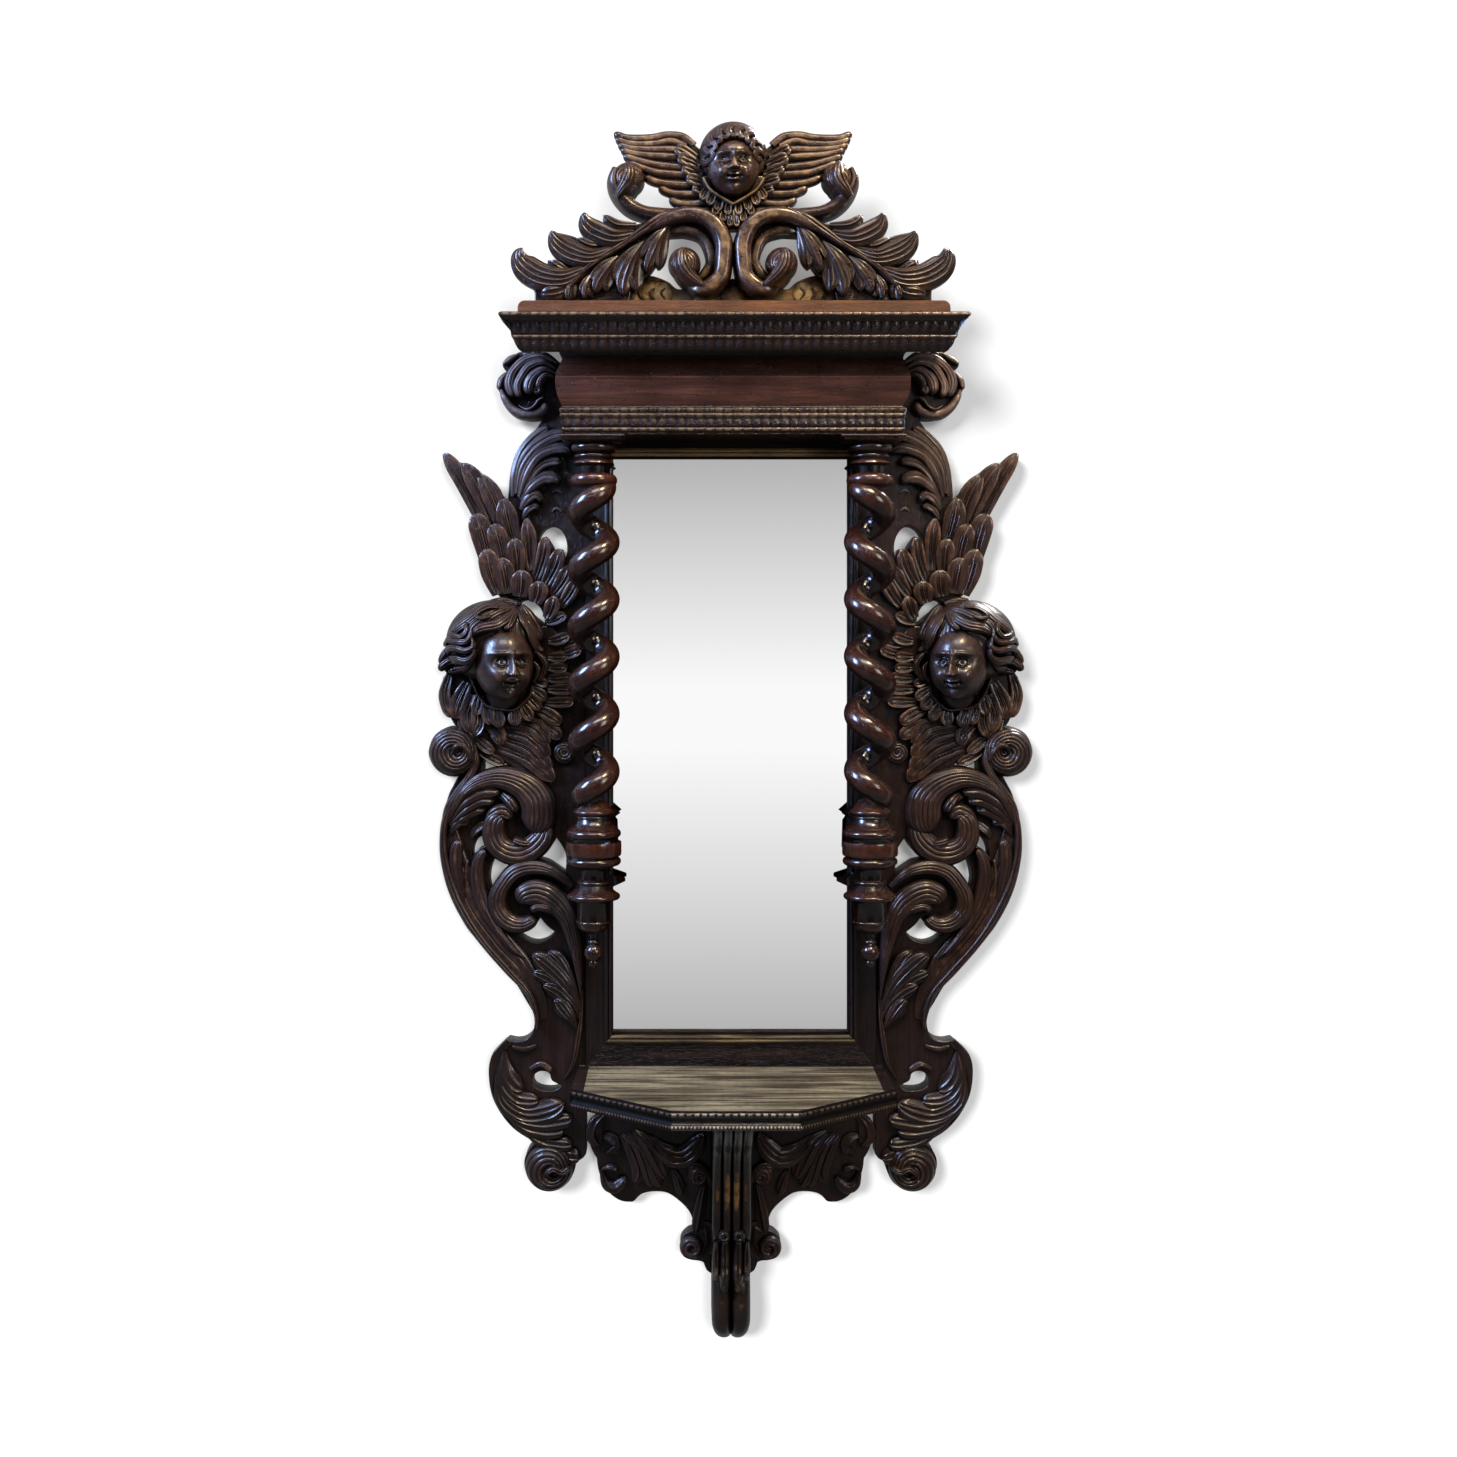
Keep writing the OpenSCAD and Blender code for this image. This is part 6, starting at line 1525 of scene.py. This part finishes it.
class MIRROR_OT_aprons(bpy.types.Operator):
    """Carved boards under the shelf"""

    bl_idname = "mirror.aprons"
    bl_label = "Aprons"

    def execute(self, context):
        work = Carving()
        pierced(work, smooth_line(APRON_EDGE, 3, True), 0, APRON, 0.15)
        leaves(work, APRON_LEAVES, APRON)
        snail(work, (49, -1102), 15, (48, -1102), APRON, 12, reeds=2, start=90, dish=0.3)
        snail(work, (40, -1010), 14, (37, -1014), APRON, 10, reeds=3, start=90, groove=0.5)
        pair("apron", work, finish("under"), "carved_oak")
        return {"FINISHED"}


class MIRROR_OT_bracket(bpy.types.Operator):
    """Reeded bracket between the aprons, with a drop of two lobes under it"""

    bl_idname = "mirror.bracket"
    bl_label = "Centre bracket"

    # Heights where hands have rubbed it brightest above the drop, where a painted highlight lies
    # on the drop, and where the drop and its rounded foot begin.
    belly, drop_belly, drop_top, drop_foot = -1014, -1160, -1070, -1184

    def execute(self, context):
        line = smooth_line(CONSOLE[1:-1], 2)
        reach, up = line[:, 0:1], line[:, 1:2]
        s = np.linspace(-1, 1, 65)[None]
        drop = np.clip((self.drop_top - up) / 12, 0, 1)
        wide = np.sqrt(np.clip(1 - ((np.abs(s) - 0.5) / 0.5) ** 2, 0, 1))
        fine = np.sqrt(np.clip(1 - (np.abs(s) * 4 % 2 - 1) ** 2, 0, 1)) * (1.15 - 0.4 * np.abs(s))
        lobe = wide * drop + fine * (1 - drop)
        depth = reach - (8 + 5 * drop) * (1 - lobe)
        half = 24 * np.sqrt(1 - 0.6 * np.clip((self.drop_foot - up) / 30, 0, 1) ** 2)
        rings = np.stack([half * s + 0 * depth, -np.maximum(depth, 0), up + 0 * s * depth], -1)
        back = rings[:, ::-1][:, [0, -1]].copy()
        back[..., 1] = 0
        # The reeds above and the flanks of the drop stay dark; the band on the drop is a painted highlight.
        bright = (0.35 + 0.85 * np.exp(-((up - self.belly) / 30) ** 2)
                  + 0.4 * np.exp(-((up - self.drop_belly) / 14) ** 2))
        rub_and_painted_light = np.concatenate([bright * np.clip(lobe, 0, 1) ** 2, np.zeros((len(line), 2))], 1)
        work = Carving()
        work.tube(np.concatenate([rings, back], 1), rub_and_painted_light)
        self.curls(work, line[np.argsort(line[:, 1])])
        piece("centre_bracket_carved", work, finish("bracket"), "carved_oak", "centre_bracket")
        return {"FINISHED"}

    def curls(self, work, rising):
        """Curl of the collar and the two petals above the drop, on both sides."""

        def front(u, z):
            return np.interp(z, rising[:, 1], rising[:, 0]) + 0 * u

        for side in (-1, 1):
            snail(work, (side * 9, -1068), 8, (side * 8, -1069), 66, 16, reeds=2)
            for x, foot, half in ((8, -1146, 7), (19, -1126, 5)):
                path = [(side * x, -1076, half * 0.5, 5), (side * x, -1100, half, 9),
                        (side * x, foot, half * 0.9, 10)]
                band(work, path, front, lines=(0.0,), square=2.4, tip=1.5, foot=8)


class MIRROR_OT_stage(bpy.types.Operator):
    """Wall, floor, lights and camera"""

    bl_idname = "mirror.stage"
    bl_label = "Stage"

    def execute(self, context):
        colours = context.scene.mirror_colours
        paint = self.paint(colours.wall)
        # The wall stands 1 mm behind the mirror, and the floor well below it, all in metres.
        near, far, side, foot, top = 0.001, -5, 4, -1.75, 3.2
        wall = self.sheet("wall", [(-side, near, foot), (side, near, foot), (side, near, top),
                                   (-side, near, top)], paint)
        floor = self.sheet("floor", [(-side, far, foot), (side, far, foot), (side, near, foot),
                                     (-side, near, foot)], paint)
        self.lamps(colours, wall, floor)
        self.daylight(wall, floor)
        # The photographed glass shows nothing of the pieces before it.
        for made in context.scene.objects:
            if "column" in made.name or "shelf" in made.name:
                made.visible_glossy = False
        glass = frame["nodes"]["mirror_glass"]
        glass.visible_glossy = glass.visible_diffuse = False
        self.card()
        self.world()
        # The photograph was taken level, 2 m in front of the wall and a little left of the middle.
        left, away, up = -0.06, -2.0, -0.34
        view = bpy.data.cameras.new("camera")
        view.lens = 38.9
        view.shift_x, view.shift_y = 0.0314, -0.0607
        context.scene.camera = self.put("camera", view, (left, away, up), (left, 0.0, up))
        context.scene.view_settings.view_transform = "Standard"
        return {"FINISHED"}

    def lamps(self, colours, wall, floor):
        """The lamps of the mirror itself, which leave the wall and floor alone."""
        room = linked("room_surfaces", wall, floor)
        for entry in room.collection_objects:
            entry.light_linking.link_state = "EXCLUDE"
        # A large window close to the left edge and a warm lamp above to the right.
        self.lamp("window", (-1.5, -0.7, 0.5), (0, 0, -0.3), (0.5, 0.8), 66, colours.window, room)
        self.lamp("lamp", (0.5, -0.85, 0.95), (0, 0, -0.2), (0.3, 0.3), 22, colours.lamp, room)
        # Weak light of the room from the front and high above, so that no flat face mirrors it.
        self.lamp("fill", (-0.3, -2.0, 2.4), (0, 0, -0.2), (1.6, 0.9), 45, (1.0, 0.95, 0.92), room)
        self.lamp("side_fill", (1.6, -1.9, 0.3), (0, 0, -0.2), (0.8, 1.0), 18, (1.0, 0.93, 0.88), room)
        # A lamp behind the wall, which lets its light through, for views of the back.
        behind = self.lamp("back_light", (1.4, 1.2, 1.6), (0, 0, -0.4), (1.0, 1.0), 80, (1.0, 1.0, 1.0), room)
        behind.light_linking.blocker_collection = room

    def daylight(self, wall, floor):
        """Daylight from both sides, on the wall and floor alone, which casts their soft shadows."""
        for name, spot, energy in (("daylight", (-0.55, -1.0, 0.42), 3.5),
                                   ("far_daylight", (0.27, -1.0, 0.2), 1.8)):
            sun = bpy.data.lights.new(name, "SUN")
            sun.energy, sun.angle = energy, math.radians(20)
            made = self.put(name, sun, spot, (0, 0, 0))
            made.light_linking.receiver_collection = linked(name + "_falls_on", wall, floor)

    def put(self, name, data, spot, aim):
        """Places a lamp or camera so that it looks at a point."""
        made = bpy.data.objects.new(name, data)
        bpy.context.scene.collection.objects.link(made)
        made.location = spot
        made.rotation_euler = (Vector(aim) - Vector(spot)).to_track_quat("-Z", "Y").to_euler()
        return made

    def lamp(self, name, spot, aim, size, power, colour, room):
        """A rectangular lamp, in metres and watts, that doesn't light the room's surfaces."""
        light = bpy.data.lights.new(name, "AREA")
        light.shape = "RECTANGLE"
        light.size, light.size_y = size
        light.energy = power
        light.color = colour[:3]
        made = self.put(name, light, spot, aim)
        made.light_linking.receiver_collection = room
        return made

    def sheet(self, name, corners, material):
        """A flat stage surface."""
        mesh = bpy.data.meshes.new(name)
        mesh.from_pydata(corners, [], [(0, 1, 2, 3)])
        mesh.materials.append(material)
        made = bpy.data.objects.new(name, mesh)
        bpy.context.scene.collection.objects.link(made)
        return made

    def paint(self, colour):
        """White paint: white to the camera where no shadow falls, and dimmer in reflections."""
        paint, tree = new_material("painted_plaster")
        tree.nodes.clear()
        path = add(tree, "LightPath").outputs
        direct = add(tree, "Math", {0: path["Is Camera Ray"], 1: path["Is Transmission Ray"]},
                     operation="MAXIMUM").outputs[0]
        seen = add(tree, "Math", {0: path["Is Glossy Ray"], 1: 0.15, 2: direct},
                   operation="MULTIPLY_ADD", use_clamp=True).outputs[0]
        glow = add(tree, "Emission", {"Color": colour, "Strength": 0.2}).outputs[0]
        flat = add(tree, "BsdfDiffuse", {"Color": (*(c * 0.62 for c in colour[:3]), 1)}).outputs[0]
        bright = add(tree, "AddShader", {0: glow, 1: flat}).outputs[0]
        dim = add(tree, "BsdfDiffuse", {"Color": (0.12, 0.12, 0.12, 1)}).outputs[0]
        shown = add(tree, "MixShader", {0: seen, 1: dim, 2: bright}).outputs[0]
        # From behind, the wall is clear, so that views of the back see the mirror.
        clear = add(tree, "BsdfTransparent").outputs[0]
        behind = add(tree, "NewGeometry").outputs["Backfacing"]
        surface = add(tree, "MixShader", {0: behind, 1: shown, 2: clear}).outputs[0]
        add(tree, "OutputMaterial", {"Surface": surface})
        return paint

    def world(self):
        """A dim room around the mirror, white where the camera looks past it."""
        world = bpy.data.worlds.new("room")
        bpy.context.scene.world = world
        world.use_nodes = True
        tree = world.node_tree
        sky = tree.nodes["Background"]
        path = add(tree, "LightPath").outputs
        # Reflections see 0.04 of white and all other light 0.1.
        dim = add(tree, "Math", {0: path["Is Glossy Ray"], 1: -0.06, 2: 0.1}, operation="MULTIPLY_ADD")
        level = add(tree, "Math", {0: path["Is Camera Ray"], 1: dim.outputs[0]}, operation="MAXIMUM")
        sky.inputs["Color"].default_value = (1, 1, 1, 1)
        tree.links.new(level.outputs[0], sky.inputs["Strength"])

    def card(self):
        """A card behind the camera that the glass shows: white at eye level, grey above and below."""
        tone, tree = new_material("graded_card")
        tree.nodes.clear()
        place = add(tree, "NewGeometry").outputs["Position"]
        up = add(tree, "SeparateXYZ", {0: place}).outputs["Z"]
        level = add(tree, "MapRange", {"Value": up, "From Min": -1.5, "From Max": 0.2}).outputs[0]
        ramp = add(tree, "ValToRGB", {"Fac": level})
        stops = ramp.color_ramp.elements
        stops[0].position, stops[0].color = 0.0, linear("#b4b4b4")
        stops[1].position, stops[1].color = 1.0, linear("#b4b4b4")
        for spot in (0.5, 0.6):
            stops.new(spot).color = (1, 1, 1, 1)
        glow = add(tree, "Emission", {"Color": ramp.outputs[0], "Strength": 1.03}).outputs[0]
        add(tree, "OutputMaterial", {"Surface": glow})
        side, away, foot, top = 1.0, -2.6, -1.6, 0.4
        made = self.sheet("card", [(-side, away, foot), (side, away, foot), (side, away, top),
                                   (-side, away, top)], tone)
        made.visible_camera = made.visible_diffuse = made.visible_shadow = False
        # Only the glass sees the card, so that it doesn't whiten the polished wood.
        made.light_linking.receiver_collection = linked("glass_alone", frame["nodes"]["mirror_glass"])


class MIRROR_PT_pieces(bpy.types.Panel):
    """Lists the sizes, colours and pieces"""

    bl_label = "Carved mirror"
    bl_space_type = "VIEW_3D"
    bl_region_type = "UI"
    bl_category = "Mirror"

    def draw(self, context):
        for group in (context.scene.mirror_sizes, context.scene.mirror_colours):
            for name in group.bl_rna.properties.keys():
                if name not in ("rna_type", "name"):
                    self.layout.prop(group, name)
        for operator in OPERATORS:
            self.layout.operator(operator.bl_idname)


OPERATORS = (MIRROR_OT_joinery, MIRROR_OT_mouldings, MIRROR_OT_columns, MIRROR_OT_side_boards,
             MIRROR_OT_ear_scrolls, MIRROR_OT_main_scrolls, MIRROR_OT_foot_scrolls, MIRROR_OT_wings,
             MIRROR_OT_collars, MIRROR_OT_side_heads, MIRROR_OT_crest_scrolls, MIRROR_OT_crest_wings,
             MIRROR_OT_crest_head, MIRROR_OT_crest_ground, MIRROR_OT_shelf_edges, MIRROR_OT_aprons,
             MIRROR_OT_bracket, MIRROR_OT_stage)
CLASSES = (MirrorSizes, MirrorColours, *OPERATORS, MIRROR_PT_pieces)


def register():
    for kind in CLASSES:
        bpy.utils.register_class(kind)
    bpy.types.Scene.mirror_sizes = bpy.props.PointerProperty(type=MirrorSizes)
    bpy.types.Scene.mirror_colours = bpy.props.PointerProperty(type=MirrorColours)


def unregister():
    del bpy.types.Scene.mirror_colours
    del bpy.types.Scene.mirror_sizes
    for kind in reversed(CLASSES):
        bpy.utils.unregister_class(kind)


def main():
    """Builds every piece and the stage."""
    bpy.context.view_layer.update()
    register()
    for operator in OPERATORS:
        group, name = operator.bl_idname.split(".")
        getattr(getattr(bpy.ops, group), name)()


if __name__ == "__main__":
    main()
